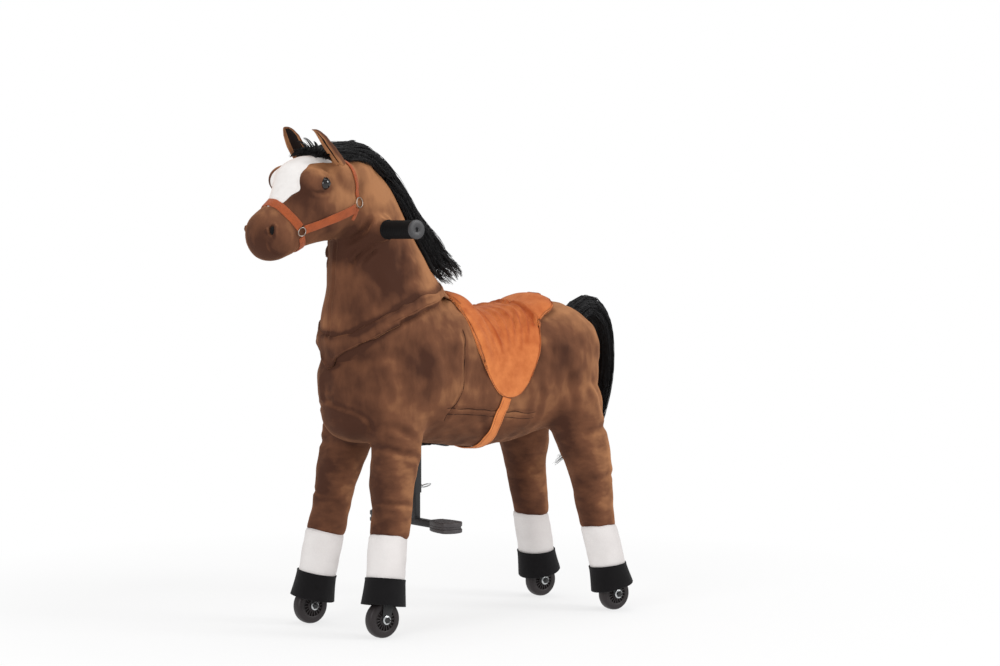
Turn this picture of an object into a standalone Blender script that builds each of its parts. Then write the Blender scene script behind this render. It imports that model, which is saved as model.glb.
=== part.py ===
# Ride-on horse: a plush horse over a steel frame whose legs swing as the stirrups are pressed.
# Metres, +Z up. The horse faces -Y, its left side is +X, and the floor is z = 0.

import math

import bmesh
import bpy
from mathutils import Matrix, Vector

# Driving dimensions of the running gear
WHEEL_X = 0.107
FRONT_WHEEL_Y = -0.199
REAR_WHEEL_Y = 0.331
FRONT_WHEEL_R = 0.033
REAR_WHEEL_R = 0.030
WHEEL_HALF_WIDTH = 0.010
FRONT_PIVOT_Y = -0.128
REAR_PIVOT_Y = 0.225
PIVOT_Z = 0.465
FRONT_HIP_X = 0.0624
REAR_HIP_X = 0.0781
SHAFT_R = 0.0125
LEG_TUBE_R = 0.011
STEM_R = 0.0078
AXLE_R = 0.004

# Stirrup post, its guide and the links that join it to the front leg shaft
POST_Y = -0.042
POST_HALF = 0.008
POST_TOP = 0.492
POST_BOTTOM = 0.235
BAR_HALF = 0.0065
PEDAL_Z = 0.183
LOCK_Z = 0.2455
LINK_PIN_Z = 0.400
ARM_LENGTH = 0.080
ARM_ANGLE = math.radians(-70)
CRANK_LENGTH = 0.030
PIN_R = 0.003

# Steering: the neck turns on a post that leans forward
STEER_Y = -0.095
STEER_Z = 0.525
STEER_TILT = math.radians(20)
BAR_Z = 0.715
BAR_RISE = 0.071
BAR_R = 0.011
GRIP_R = 0.0165
GRIP_IN = 0.066
GRIP_OUT = 0.160

# Soft parts
HIP_BALL_R = 0.095
FRONT_SOCK_TOP = 0.172
FRONT_CUFF_TOP = 0.097
FRONT_CUFF_BOTTOM = 0.052
REAR_SOCK_TOP = 0.156
REAR_CUFF_TOP = 0.083
REAR_CUFF_BOTTOM = 0.043

GAP = 0.0004
RUN = 0.0003


# Materials

def hex_colour(text):
    """Linear red, green and blue of an sRGB hex colour."""
    parts = [int(text[i : i + 2], 16) / 255 for i in (0, 2, 4)]
    return [p / 12.92 if p <= 0.04045 else ((p + 0.055) / 1.055) ** 2.4 for p in parts]


def material(name, colour, roughness, metallic=0.0):
    """A Principled material of one colour."""
    made = bpy.data.materials.new(name)
    made.use_nodes = True
    shader = made.node_tree.nodes["Principled BSDF"]
    shader.inputs["Base Color"].default_value = [*hex_colour(colour), 1.0]
    shader.inputs["Roughness"].default_value = roughness
    shader.inputs["Metallic"].default_value = metallic
    made.diffuse_color = [*hex_colour(colour), 1.0]
    return made


for left_over in list(bpy.data.objects):
    bpy.data.objects.remove(left_over, do_unlink=True)

BROWN_PLUSH = material("brown_plush", "7a4a2e", 0.9)
WHITE_PLUSH = material("white_plush", "e0dcda", 0.9)
BLACK_PLUSH = material("black_fabric", "1c1a1d", 0.95)
BLACK_FUR = material("black_fur", "17151a", 0.8)
ORANGE_CLOTH = material("orange_cloth", "cf6f3c", 0.85)
HALTER_STRAP = material("halter_webbing", "b9623f", 0.7)
FRAME_STEEL = material("painted_steel", "24262a", 0.45, 0.6)
BRIGHT_STEEL = material("zinc_plated_steel", "b4b7ba", 0.3, 1.0)
WHEEL_PLASTIC = material("wheel_plastic", "3b3838", 0.5)
PEDAL_PLASTIC = material("pedal_plastic", "4a4849", 0.55)
GRIP_RUBBER = material("grip_rubber", "161517", 0.6)
EYE_PLASTIC = material("eye_plastic", "14121c", 0.08)
BOARD_WOOD = material("plywood", "c9a878", 0.7)


# Mesh helpers

def add_object(name, bm, finish=None, sharp=35):
    """A named object from a bmesh, shaded smooth except at sharp edges."""
    bmesh.ops.remove_doubles(bm, verts=bm.verts, dist=1e-6)
    bmesh.ops.recalc_face_normals(bm, faces=bm.faces)
    mesh = bpy.data.meshes.new(name)
    bm.to_mesh(mesh)
    bm.free()
    made = bpy.data.objects.new(name, mesh)
    bpy.context.scene.collection.objects.link(made)
    if finish:
        mesh.materials.append(finish)
    mesh.shade_smooth()
    mesh.set_sharp_from_angle(angle=math.radians(sharp))
    return made


def boolean(target, tool, operation):
    """Cut, join or intersect the target with a tool, and apply the result."""
    modifier = target.modifiers.new(operation.lower(), "BOOLEAN")
    modifier.object = tool
    modifier.operation = operation
    modifier.solver = "EXACT"
    tool.hide_render = True
    tool.display_type = "WIRE"
    bpy.context.view_layer.update()
    seen = target.evaluated_get(bpy.context.evaluated_depsgraph_get())
    mesh = bpy.data.meshes.new_from_object(seen)
    target.modifiers.clear()
    finish = target.data.materials[0] if target.data.materials else None
    target.data = mesh
    mesh.materials.clear()
    if finish:
        mesh.materials.append(finish)
    bpy.data.objects.remove(tool, do_unlink=True)
    return target


def cut(target, *tools):
    for tool in tools:
        boolean(target, tool, "DIFFERENCE")
    return target


def fuse(target, *tools):
    for tool in tools:
        boolean(target, tool, "UNION")
    return target


def rings_mesh(rings, closed=False):
    """A bmesh skin over rings of points: capped at both ends, or closed round on itself."""
    bm = bmesh.new()
    rows = [[bm.verts.new(point) for point in ring] for ring in rings]
    pairs = list(zip(rows, rows[1:]))
    if closed:
        pairs.append((rows[-1], rows[0]))
    else:
        bm.faces.new(rows[0])
        bm.faces.new(rows[-1])
    for low, high in pairs:
        count = len(low)
        for i in range(count):
            j = (i + 1) % count
            bm.faces.new((low[i], low[j], high[j], high[i]))
    return bm


def oval(centre, across, up, half_across, half_up, count=16, power=2.0):
    """Points of an oval; a power over 2 squares its shoulders."""
    points = []
    for i in range(count):
        angle = 2 * math.pi * i / count
        c, s = math.cos(angle), math.sin(angle)
        u = math.copysign(abs(c) ** (2 / power), c)
        v = math.copysign(abs(s) ** (2 / power), s)
        points.append(Vector(centre) + across * (half_across * u) + up * (half_up * v))
    return points


def smooth_rows(rows, steps):
    """Rows of numbers with a smooth curve of further rows run through them."""
    out = []
    for i in range(len(rows) - 1):
        a = rows[max(i - 1, 0)]
        b, c = rows[i], rows[i + 1]
        d = rows[min(i + 2, len(rows) - 1)]
        for k in range(steps):
            t = k / steps
            out.append([
                0.5 * (2 * q + (r - p) * t + (2 * p - 5 * q + 4 * r - s) * t * t
                       + (3 * q - p - 3 * r + s) * t ** 3)
                for p, q, r, s in zip(a, b, c, d)
            ])
    out.append(list(rows[-1]))
    return out


def cylinder(name, start, end, radius, finish=None, segments=20):
    """A round bar between two points."""
    start, end = Vector(start), Vector(end)
    along = (end - start).normalized()
    across = along.orthogonal().normalized()
    up = along.cross(across)
    rings = [oval(place, across, up, radius, radius, segments) for place in (start, end)]
    return add_object(name, rings_mesh(rings), finish)


def box(name, low, high, finish=None, bevel=0.0):
    """A box between two corners, with its edges rounded if asked."""
    low, high = Vector(low), Vector(high)
    bm = bmesh.new()
    bmesh.ops.create_cube(bm, size=1.0)
    bmesh.ops.scale(bm, vec=high - low, verts=bm.verts)
    bmesh.ops.translate(bm, vec=(low + high) / 2, verts=bm.verts)
    if bevel:
        bmesh.ops.bevel(bm, geom=bm.edges[:], offset=bevel, segments=2, profile=0.5,
                        affect="EDGES")
    return add_object(name, bm, finish)


def plate(name, outline, x_low, x_high, finish=None):
    """A flat plate: an outline in Y and Z, given thickness along X."""
    bm = bmesh.new()
    face = bm.faces.new([bm.verts.new((x_low, y, z)) for y, z in outline])
    grown = bmesh.ops.extrude_face_region(bm, geom=[face])["geom"]
    moved = [v for v in grown if isinstance(v, bmesh.types.BMVert)]
    bmesh.ops.translate(bm, vec=(x_high - x_low, 0, 0), verts=moved)
    return add_object(name, bm, finish)


def arc(centre, radius, start, end, count):
    """Points of an arc in the Y-Z plane, angles in degrees from +Y towards +Z."""
    return [
        (centre[0] + radius * math.cos(math.radians(start + (end - start) * i / count)),
         centre[1] + radius * math.sin(math.radians(start + (end - start) * i / count)))
        for i in range(count + 1)
    ]


def link_outline(start, end, start_r, end_r):
    """Outline of a bar in Y and Z with a round eye at each end."""
    turn = math.degrees(math.atan2(end[1] - start[1], end[0] - start[0]))
    return (arc(start, start_r, turn + 90, turn + 270, 8)
            + arc(end, end_r, turn - 90, turn + 90, 8))


def cross_bar(name, yz, radius, x_low, x_high, finish=None, segments=16):
    """A round bar along X."""
    return cylinder(name, (x_low, *yz), (x_high, *yz), radius, finish, segments)


# Bodies that move: an empty on each joint's axis carries its pieces

FRONT_PIVOT = (FRONT_PIVOT_Y, PIVOT_Z)
REAR_PIVOT = (REAR_PIVOT_Y, PIVOT_Z)
STEER_AXIS = Vector((0, -math.sin(STEER_TILT), math.cos(STEER_TILT)))
STEER_ACROSS = Vector((0, math.cos(STEER_TILT), math.sin(STEER_TILT)))
STEER_POINT = Vector((0, STEER_Y, STEER_Z))


def joint_empty(name, place, parent=None):
    """An empty that marks a joint and carries the pieces that move on it."""
    made = bpy.data.objects.new(name, None)
    made.empty_display_size = 0.03
    made.location = place
    bpy.context.scene.collection.objects.link(made)
    bpy.context.view_layer.update()
    if parent:
        hang(made, parent)
    return made


def hang(piece, parent):
    """Parent a piece without moving it."""
    piece.parent = parent
    piece.matrix_parent_inverse = parent.matrix_world.inverted()
    bpy.context.view_layer.update()


def wheel_centre(front, side):
    """Centre of a wheel; side is 1 on the left and -1 on the right."""
    if front:
        return Vector((side * WHEEL_X, FRONT_WHEEL_Y, FRONT_WHEEL_R))
    return Vector((side * WHEEL_X, REAR_WHEEL_Y, REAR_WHEEL_R))


def hip(front, side):
    """Point on the cross shaft where a leg tube starts."""
    if front:
        return Vector((side * FRONT_HIP_X, *FRONT_PIVOT))
    return Vector((side * REAR_HIP_X, *REAR_PIVOT))


def leg_axis(front, side):
    """Unit vector up the leg, from the wheel to the hip."""
    return (hip(front, side) - wheel_centre(front, side)).normalized()


def leg_point(front, side, z):
    """Point on the leg's line at a height."""
    low, high = wheel_centre(front, side), hip(front, side)
    return low.lerp(high, (z - low.z) / (high.z - low.z))


front_joint = joint_empty("front_leg_joint", (0, *FRONT_PIVOT))
rear_joint = joint_empty("rear_leg_joint", (0, *REAR_PIVOT))
stirrup_joint = joint_empty("stirrup_joint", (0, POST_Y, LINK_PIN_Z))
link_joint = joint_empty("drive_link_joint", (0, POST_Y, LINK_PIN_Z), stirrup_joint)
lock_joint = joint_empty("lock_pin_joint", (0, POST_Y, LOCK_Z), stirrup_joint)
rod_joint = joint_empty("coupler_rod_joint", (0, FRONT_PIVOT_Y, PIVOT_Z - CRANK_LENGTH),
                        front_joint)
neck_joint = joint_empty("neck_joint", STEER_POINT)


# Steel frame: two side plates carry both leg shafts, the guide, the steering head and the seat

PLATE_IN = 0.040
PLATE_OUT = 0.045
BAR_UP = 0.014
BEARING_R = 0.022
SEAT_Z = 0.500


def side_plate(name, side):
    """Pressed side plate: bearing eyes at the ends, seat tabs on top, lightening holes."""
    tabs = [(0.185, 0.155), (0.010, -0.020)]
    eye = math.degrees(math.asin(BAR_UP / BEARING_R))
    outline = arc(REAR_PIVOT, BEARING_R, -180 + eye, 180 - eye, 10)
    for near, far in tabs:
        outline += [(near, PIVOT_Z + BAR_UP), (near - 0.004, SEAT_Z), (far + 0.004, SEAT_Z),
                    (far, PIVOT_Z + BAR_UP)]
    outline += arc(FRONT_PIVOT, BEARING_R, eye, 360 - eye, 10)
    made = plate(name, outline, side * PLATE_IN, side * PLATE_OUT, FRAME_STEEL)
    reach = (side * (PLATE_IN - 0.002), side * (PLATE_OUT + 0.002))
    for pivot in (FRONT_PIVOT, REAR_PIVOT):
        cut(made, cross_bar("bore", pivot, SHAFT_R + RUN, *reach, segments=16))
    for y in (0.050, 0.095, 0.140):
        cut(made, cross_bar("hole", (y, PIVOT_Z), 0.008, *reach, segments=10))
    return made


side_plate("left_side_plate", 1)
side_plate("right_side_plate", -1)

GUIDE_X = 0.023
UPPER_GUIDE = (0.418, 0.438)
LOWER_GUIDE = (0.322, 0.342)
guide = box("post_guide", (0.0005 - PLATE_IN, POST_Y - 0.018, UPPER_GUIDE[0]),
            (PLATE_IN - 0.0005, POST_Y + 0.018, UPPER_GUIDE[1]), FRAME_STEEL)
fuse(guide, box("lower_block", (-GUIDE_X, POST_Y - 0.017, LOWER_GUIDE[0]),
                (GUIDE_X, POST_Y + 0.017, LOWER_GUIDE[1])))
for side in (-1, 1):
    inner, outer = sorted((side * (GUIDE_X - 0.004), side * (GUIDE_X + 0.0001)))
    fuse(guide, box("strap", (inner, POST_Y - 0.014, LOWER_GUIDE[0] + 0.002),
                    (outer, POST_Y + 0.014, UPPER_GUIDE[1] - 0.002)))
cut(guide, box("post_hole", (-POST_HALF - GAP, POST_Y - POST_HALF - GAP, 0.30),
               (POST_HALF + GAP, POST_Y + POST_HALF + GAP, 0.46)))

HEAD_TUBE_LOW = -0.052
HEAD_TUBE_HIGH = -0.006
head_tube = cylinder("steering_head", STEER_POINT + STEER_AXIS * HEAD_TUBE_LOW,
                     STEER_POINT + STEER_AXIS * HEAD_TUBE_HIGH, 0.017, FRAME_STEEL, 24)
fuse(head_tube, box("head_bracket", (0.0005 - PLATE_IN, -0.104, 0.4695),
                    (PLATE_IN - 0.0005, -0.056, 0.4785)))
cut(head_tube, cylinder("steering_bore", STEER_POINT - STEER_AXIS * 0.08,
                        STEER_POINT + STEER_AXIS * 0.02, SHAFT_R + RUN, None, 24))

box("seat_board", (-0.047, -0.028, SEAT_Z + RUN), (0.047, 0.205, SEAT_Z + 0.012), BOARD_WOOD,
    0.002)


# Front and rear leg frames: cross shaft with its crank, two leg tubes, a fork at each wheel

def on_arm(angle, length):
    """Point at an arm's end: angle from straight down, positive towards the rear."""
    return (FRONT_PIVOT_Y + length * math.sin(angle), PIVOT_Z - length * math.cos(angle))


ARM_END = on_arm(ARM_ANGLE, ARM_LENGTH)
FRONT_CRANK = (FRONT_PIVOT_Y, PIVOT_Z - CRANK_LENGTH)
REAR_CRANK = (REAR_PIVOT_Y, PIVOT_Z + CRANK_LENGTH)
CRANK_X = (0.018, 0.022)

front_shaft = cross_bar("front_cross_shaft", FRONT_PIVOT, SHAFT_R, -FRONT_HIP_X - 0.013,
                        FRONT_HIP_X + 0.013, FRAME_STEEL, 16)
fuse(front_shaft,
     plate("arm", link_outline(FRONT_PIVOT, ARM_END, 0.017, 0.008), -0.004, 0.004),
     cross_bar("arm_pin", ARM_END, PIN_R, -0.0150, 0.0150, segments=12),
     plate("crank", link_outline(FRONT_PIVOT, FRONT_CRANK, 0.016, 0.008), *CRANK_X),
     cross_bar("crank_pin", FRONT_CRANK, PIN_R, 0.019, 0.031, segments=12))
rear_shaft = cross_bar("rear_cross_shaft", REAR_PIVOT, SHAFT_R, -REAR_HIP_X - 0.013,
                       REAR_HIP_X + 0.013, FRAME_STEEL, 16)
fuse(rear_shaft,
     plate("crank", link_outline(REAR_PIVOT, REAR_CRANK, 0.016, 0.008), *CRANK_X),
     cross_bar("crank_pin", REAR_CRANK, PIN_R, 0.019, 0.031, segments=12))
hang(front_shaft, front_joint)
hang(rear_shaft, rear_joint)

FORK_IN = WHEEL_HALF_WIDTH + 0.0012
FORK_OUT = FORK_IN + 0.0025
CROWN_LOW = 0.0035
CROWN_THICK = 0.0045
TUBE_LIFT = 0.0016


def crown_top(front):
    """Height of the fork crown's top above the wheel's centre, along the leg."""
    return (FRONT_WHEEL_R if front else REAR_WHEEL_R) + CROWN_LOW + CROWN_THICK


def fork(name, front, side):
    """Wheel fork: crown, two cheeks, steering stem, axle bolt and its nuts."""
    centre = wheel_centre(front, side)
    axis = leg_axis(front, side)
    lean = math.degrees(math.atan2(axis.z, axis.y))
    up = Vector((0, axis.y, axis.z)).normalized()
    top = crown_top(front)
    head = (centre + up * top).yz
    back = Vector((0, -up.z, up.y))
    corner = [(head + back.yz * k) for k in (0.012, -0.012)]
    outline = arc(centre.yz, 0.009, lean + 180 - 90, lean + 180 + 90, 8)
    outline += [tuple(corner[1]), tuple(corner[0])]
    made = plate(name, outline, centre.x - FORK_OUT, centre.x - FORK_IN, FRAME_STEEL)
    fuse(made, plate("cheek", outline, centre.x + FORK_IN, centre.x + FORK_OUT))
    low = (centre + up * (top - CROWN_THICK)).yz
    crown = [tuple(low + back.yz * 0.0119), tuple(low - back.yz * 0.0119),
             tuple(corner[1] + up.yz * 0.0001), tuple(corner[0] + up.yz * 0.0001)]
    fuse(made, plate("crown", crown, centre.x - FORK_OUT - 0.0001, centre.x + FORK_OUT + 0.0001))
    neck = centre + axis * (top - 0.002)
    fuse(made, cylinder("stem", neck, centre + axis * (top + 0.036), STEM_R, None, 16))
    fuse(made, cross_bar("axle", centre.yz, AXLE_R, centre.x - 0.0190, centre.x + 0.0190,
                         None, 12))
    for way in (-1, 1):
        start = centre.x + way * (FORK_OUT - 0.0003)
        fuse(made, cross_bar("nut", centre.yz, 0.0075, start, start + way * 0.0043, None, 6))
    return made


def leg_tube(name, front, side):
    """Leg tube, saddle-cut on the cross shaft and bored at the foot for the fork's stem."""
    centre = wheel_centre(front, side)
    axis = leg_axis(front, side)
    foot = centre + axis * (crown_top(front) + TUBE_LIFT)
    made = cylinder(name, foot, hip(front, side), LEG_TUBE_R, FRAME_STEEL, 16)
    pivot = FRONT_PIVOT if front else REAR_PIVOT
    reach = (side * 0.03, side * 0.12)
    cut(made, cross_bar("shaft_space", pivot, SHAFT_R + RUN, *reach, segments=16),
        cylinder("stem_bore", foot - axis * 0.01, foot + axis * 0.040, STEM_R + RUN, None, 16))
    return made


def wheel(name, front, side, parent):
    """Wheel with a round tread, a raised hub and a ring of ribs let into each face."""
    radius = FRONT_WHEEL_R if front else REAR_WHEEL_R
    k = radius / FRONT_WHEEL_R
    w = WHEEL_HALF_WIDTH
    bore = AXLE_R + RUN
    sides = 18
    k /= math.cos(math.pi / sides)
    profile = [(w, bore), (w, 0.0100 * k), (w - 0.0025, 0.0112 * k), (w - 0.0025, 0.0188 * k),
               (w, 0.0205 * k), (w - 0.0012, 0.0300 * k), (w - 0.0070, 0.0330 * k)]
    profile += [(-x, r) for x, r in reversed(profile)]
    centre = wheel_centre(front, side)
    rings = []
    for x, r in profile:
        step = 2 * math.pi / sides
        rings.append([
            (x, r * math.sin(step * (i + 0.5)), r * math.cos(step * (i + 0.5)))
            for i in range(sides)
        ])
    bm = rings_mesh(rings, closed=True)
    bm.normal_update()
    floor_r = 0.0150 * k
    pockets = []
    for face in bm.faces:
        spot = face.calc_center_median()
        if abs(abs(spot.x) - (w - 0.0025)) < 0.0004 and abs(spot.yz.length - floor_r) < 0.002:
            turn = math.atan2(spot.y, spot.z) / (2 * math.pi / sides)
            if round(turn) % 2 == 0:
                pockets.append(face)
    for face in pockets:
        inward = -0.003 if face.calc_center_median().x > 0 else 0.003
        floor = bmesh.ops.extrude_discrete_faces(bm, faces=[face])["faces"]
        for low in floor:
            bmesh.ops.translate(bm, vec=(inward, 0, 0), verts=low.verts)
    made = add_object(name, bm, WHEEL_PLASTIC, 30)
    made.location = centre
    bpy.context.view_layer.update()
    hang(made, parent)
    return made


SIDES = (("left", 1), ("right", -1))
for end in ("front", "rear"):
    is_front = end == "front"
    leg_joint = front_joint if is_front else rear_joint
    for word, side in SIDES:
        hang(leg_tube(f"{end}_{word}_leg_tube", is_front, side), leg_joint)
        made_fork = fork(f"{end}_{word}_fork", is_front, side)
        carrier = leg_joint
        if is_front:
            carrier = joint_empty(f"{end}_{word}_fork_joint", wheel_centre(True, side), leg_joint)
        hang(made_fork, carrier)
        spin = joint_empty(f"{end}_{word}_wheel_joint", wheel_centre(is_front, side), carrier)
        wheel(f"{end}_{word}_wheel", is_front, side, spin)


# Drive links from the stirrup post to the front arm, and the rod that turns the rear legs

for word, side in SIDES:
    made = plate(f"{word}_drive_link",
                 link_outline((POST_Y, LINK_PIN_Z), ARM_END, 0.0075, 0.0085),
                 side * (POST_HALF + 0.0006), side * (POST_HALF + 0.0042), BRIGHT_STEEL)
    reach = (side * 0.004, side * 0.016)
    cut(made, cross_bar("post_eye", (POST_Y, LINK_PIN_Z), PIN_R + RUN, *reach, segments=12),
        cross_bar("arm_eye", ARM_END, PIN_R + 0.0012, *reach, segments=12))
    hang(made, link_joint)

rod = plate("coupler_rod", link_outline(FRONT_CRANK, REAR_CRANK, 0.0065, 0.0075),
            CRANK_X[1] + 0.0006, CRANK_X[1] + 0.0056, BRIGHT_STEEL)
cut(rod, cross_bar("front_eye", FRONT_CRANK, PIN_R + RUN, 0.02, 0.032, segments=12),
    cross_bar("rear_eye", REAR_CRANK, PIN_R + 0.0010, 0.02, 0.032, segments=12))
hang(rod, rod_joint)


# Stirrups: square post, telescoping T bar, two pedals and the pin that locks the height

post = box("stirrup_post", (-POST_HALF, POST_Y - POST_HALF, POST_BOTTOM),
           (POST_HALF, POST_Y + POST_HALF, POST_TOP), FRAME_STEEL)
fuse(post, cross_bar("link_pin", (POST_Y, LINK_PIN_Z), PIN_R, -0.0148, 0.0148, segments=12))
cut(post, box("bar_socket", (-BAR_HALF - RUN, POST_Y - BAR_HALF - RUN, POST_BOTTOM - 0.01),
              (BAR_HALF + RUN, POST_Y + BAR_HALF + RUN, POST_BOTTOM + 0.060)))
tee = box("stirrup_tee_bar", (-BAR_HALF, POST_Y - BAR_HALF, PEDAL_Z - BAR_HALF + 0.001),
          (BAR_HALF, POST_Y + BAR_HALF, POST_BOTTOM + 0.055), FRAME_STEEL)
ARM_REACH = 0.084
fuse(tee, box("cross_arm", (-ARM_REACH, POST_Y - BAR_HALF - 0.0003, PEDAL_Z - BAR_HALF),
              (ARM_REACH, POST_Y + BAR_HALF + 0.0003, PEDAL_Z + BAR_HALF)))
LOCK_R = 0.0026


def along_y(name, z, radius, y_low, y_high, finish=None):
    """A round bar along Y through the post's middle."""
    return cylinder(name, (0, y_low, z), (0, y_high, z), radius, finish, 12)


for piece in (post, tee):
    cut(piece, along_y("lock_bore", LOCK_Z, LOCK_R + RUN, POST_Y - 0.02, POST_Y + 0.02))
    hang(piece, stirrup_joint)

PEDAL_IN = 0.056
PEDAL_OUT = 0.119


def pedal(name, side):
    """Foot pedal: a paddle that widens outwards, ribbed round its edge, with a square socket."""
    outline = []
    rounds = 7
    for i in range(rounds + 1):
        turn = -math.pi / 2 + math.pi * i / rounds
        outline.append((PEDAL_OUT - 0.016 + 0.016 * math.cos(turn), 0.0225 * math.sin(turn)))
    outline += [(PEDAL_IN + 0.018, 0.0195), (PEDAL_IN, 0.0125), (PEDAL_IN, -0.0125),
                (PEDAL_IN + 0.018, -0.0195)]
    levels = [(-0.0100, 0.93), (-0.0080, 1.0), (-0.0030, 1.0), (-0.0025, 0.97), (0.0015, 0.97),
              (0.0020, 1.0), (0.0080, 1.0), (0.0100, 0.95)]
    middle = (PEDAL_IN + PEDAL_OUT) / 2
    rings = []
    for lift, shrink in levels:
        rings.append([
            (side * (middle + (x - middle) * shrink), POST_Y + y * shrink, PEDAL_Z + lift)
            for x, y in outline
        ])
    made = add_object(name, rings_mesh(rings), PEDAL_PLASTIC)
    socket = BAR_HALF + 0.0006
    ends = sorted((side * 0.04, side * (ARM_REACH + 0.001)))
    cut(made, box("socket", (ends[0], POST_Y - socket, PEDAL_Z - socket),
                  (ends[1], POST_Y + socket, PEDAL_Z + socket)))
    hang(made, stirrup_joint)
    return made


pedal("left_pedal", 1)
pedal("right_pedal", -1)

lock = along_y("lock_pin", LOCK_Z, LOCK_R, POST_Y - 0.0115, POST_Y + 0.0125, BRIGHT_STEEL)
LOOP_R = 0.0095
loop_rings = []
for i in range(14):
    turn = 2 * math.pi * i / 14
    out = Vector((0, math.cos(turn), math.sin(turn)))
    loop_rings.append(oval(Vector((0, POST_Y + 0.0125 + LOOP_R, LOCK_Z)) + out * LOOP_R, out,
                           Vector((1, 0, 0)), 0.0011, 0.0011, 5))
fuse(lock, add_object("lock_loop", rings_mesh(loop_rings, closed=True)))
hang(lock, lock_joint)


# Neck post, handlebar and grips: all turn with the neck

neck_post = cylinder("neck_post", STEER_POINT - STEER_AXIS * 0.064,
                     STEER_POINT + STEER_AXIS * 0.186, SHAFT_R, FRAME_STEEL, 20)
hang(neck_post, neck_joint)
CLAMP_LOW = STEER_POINT + STEER_AXIS * (0.186 + RUN)
BAR_Y = STEER_Y - (BAR_Z - STEER_Z) * math.tan(STEER_TILT)


def bar_point(x):
    """Point on the handlebar's line, which rises a little towards each grip."""
    return Vector((x, BAR_Y, BAR_Z + abs(x) * BAR_RISE))


handlebar = cylinder("handlebar", CLAMP_LOW, STEER_POINT + STEER_AXIS * 0.214, 0.0145,
                     FRAME_STEEL, 16)
for word, side in SIDES:
    fuse(handlebar, cylinder("half_bar", bar_point(-side * 0.002), bar_point(side * 0.150),
                             BAR_R, None, 16))
hang(handlebar, neck_joint)


def turned(name, start, along, profile, finish):
    """A turned piece: distance along its axis and radius for each ring, closed on itself."""
    across = along.orthogonal().normalized()
    up = along.cross(across)
    rings = [oval(start + along * t, across, up, r, r, 16) for t, r in profile]
    return add_object(name, rings_mesh(rings, closed=True), finish)


for word, side in SIDES:
    inner, outer = bar_point(side * GRIP_IN), bar_point(side * GRIP_OUT)
    along = (outer - inner).normalized()
    length = (outer - inner).length
    bore = BAR_R + RUN
    grip = turned(f"{word}_grip", inner, along,
                  [(0, bore), (0, 0.0192), (0.004, 0.0198), (0.0055, GRIP_R),
                   (length - 0.004, GRIP_R), (length - 0.001, GRIP_R - 0.0008), (length, 0.0150),
                   (length, bore)], GRIP_RUBBER)
    cap_start = bar_point(side * (GRIP_OUT + RUN))
    cap = turned(f"{word}_grip_cap", cap_start, along,
                 [(0, 0.003), (0, 0.0168), (0.0030, 0.0172), (0.0050, 0.0160), (0.0050, 0.003)],
                 PEDAL_PLASTIC)
    hang(grip, neck_joint)
    hang(cap, neck_joint)


# Soft body: stations along the back give its bottom, top and half width

TORSO_ROWS = [
    (-0.238, 0.396, 0.468, 0.024),
    (-0.222, 0.356, 0.503, 0.050),
    (-0.180, 0.335, 0.535, 0.090),
    (-0.120, 0.330, 0.560, 0.114),
    (-0.040, 0.326, 0.585, 0.118),
    (0.020, 0.316, 0.586, 0.116),
    (0.065, 0.312, 0.562, 0.1155),
    (0.115, 0.311, 0.556, 0.116),
    (0.190, 0.325, 0.562, 0.121),
    (0.260, 0.345, 0.566, 0.121),
    (0.315, 0.372, 0.549, 0.104),
    (0.350, 0.410, 0.515, 0.066),
    (0.360, 0.440, 0.485, 0.030),
]
X_AXIS = Vector((1, 0, 0))
Z_AXIS = Vector((0, 0, 1))


def torso_skin(name, grow=0.0, finish=None, swell=None):
    """The body's outer form, grown evenly by a thickness; swell adds to it from place to place."""
    first, last = TORSO_ROWS[0][0], TORSO_ROWS[-1][0]
    rings = []
    for y, low, high, half in smooth_rows(TORSO_ROWS, 2):
        place = y
        if y == first:
            place = y - grow
        if y == last:
            place = y + grow
        centre = Vector((0, place, (low + high) / 2))
        ring = oval(centre, X_AXIS, Z_AXIS, half + grow, (high - low) / 2 + grow, 20, 2.35)
        if swell:
            ring = [centre + (p - centre) * (1 + swell(p) / (p - centre).length) for p in ring]
        rings.append(ring)
    return add_object(name, rings_mesh(rings), finish, 60)


# Limits in Y of the room each leg swings in: at the bottom and at the hip
SWING_FRONT = ((-0.206, -0.064), (-0.190, -0.052))
SWING_REAR = ((0.178, 0.330), (0.146, 0.330))
SWING_BOTTOM = 0.24
HIP_EDGE_DROP = 0.040

# Seat of the neck on the body: reach of the flat part behind the axis, radius of the round part
NECK_SEAT_REAR = 0.070
NECK_SWEEP_R = 0.1190


def neck_seat(gap):
    """The room the neck turns in: all above its turning plane, but round behind."""
    edge = math.degrees(math.asin(NECK_SEAT_REAR / NECK_SWEEP_R))
    outline = [(-0.3, NECK_SEAT_REAR), (-0.3, -0.3), (0.3, -0.3), (0.3, NECK_SEAT_REAR)]
    outline += arc((0, 0), NECK_SWEEP_R, edge, 180 - edge, 14)
    rings = []
    for lift in (-gap, 0.3):
        rings.append([
            STEER_POINT + STEER_AXIS * lift + X_AXIS * x + STEER_ACROSS * y for x, y in outline
        ])
    return add_object("neck_seat", rings_mesh(rings))


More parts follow.
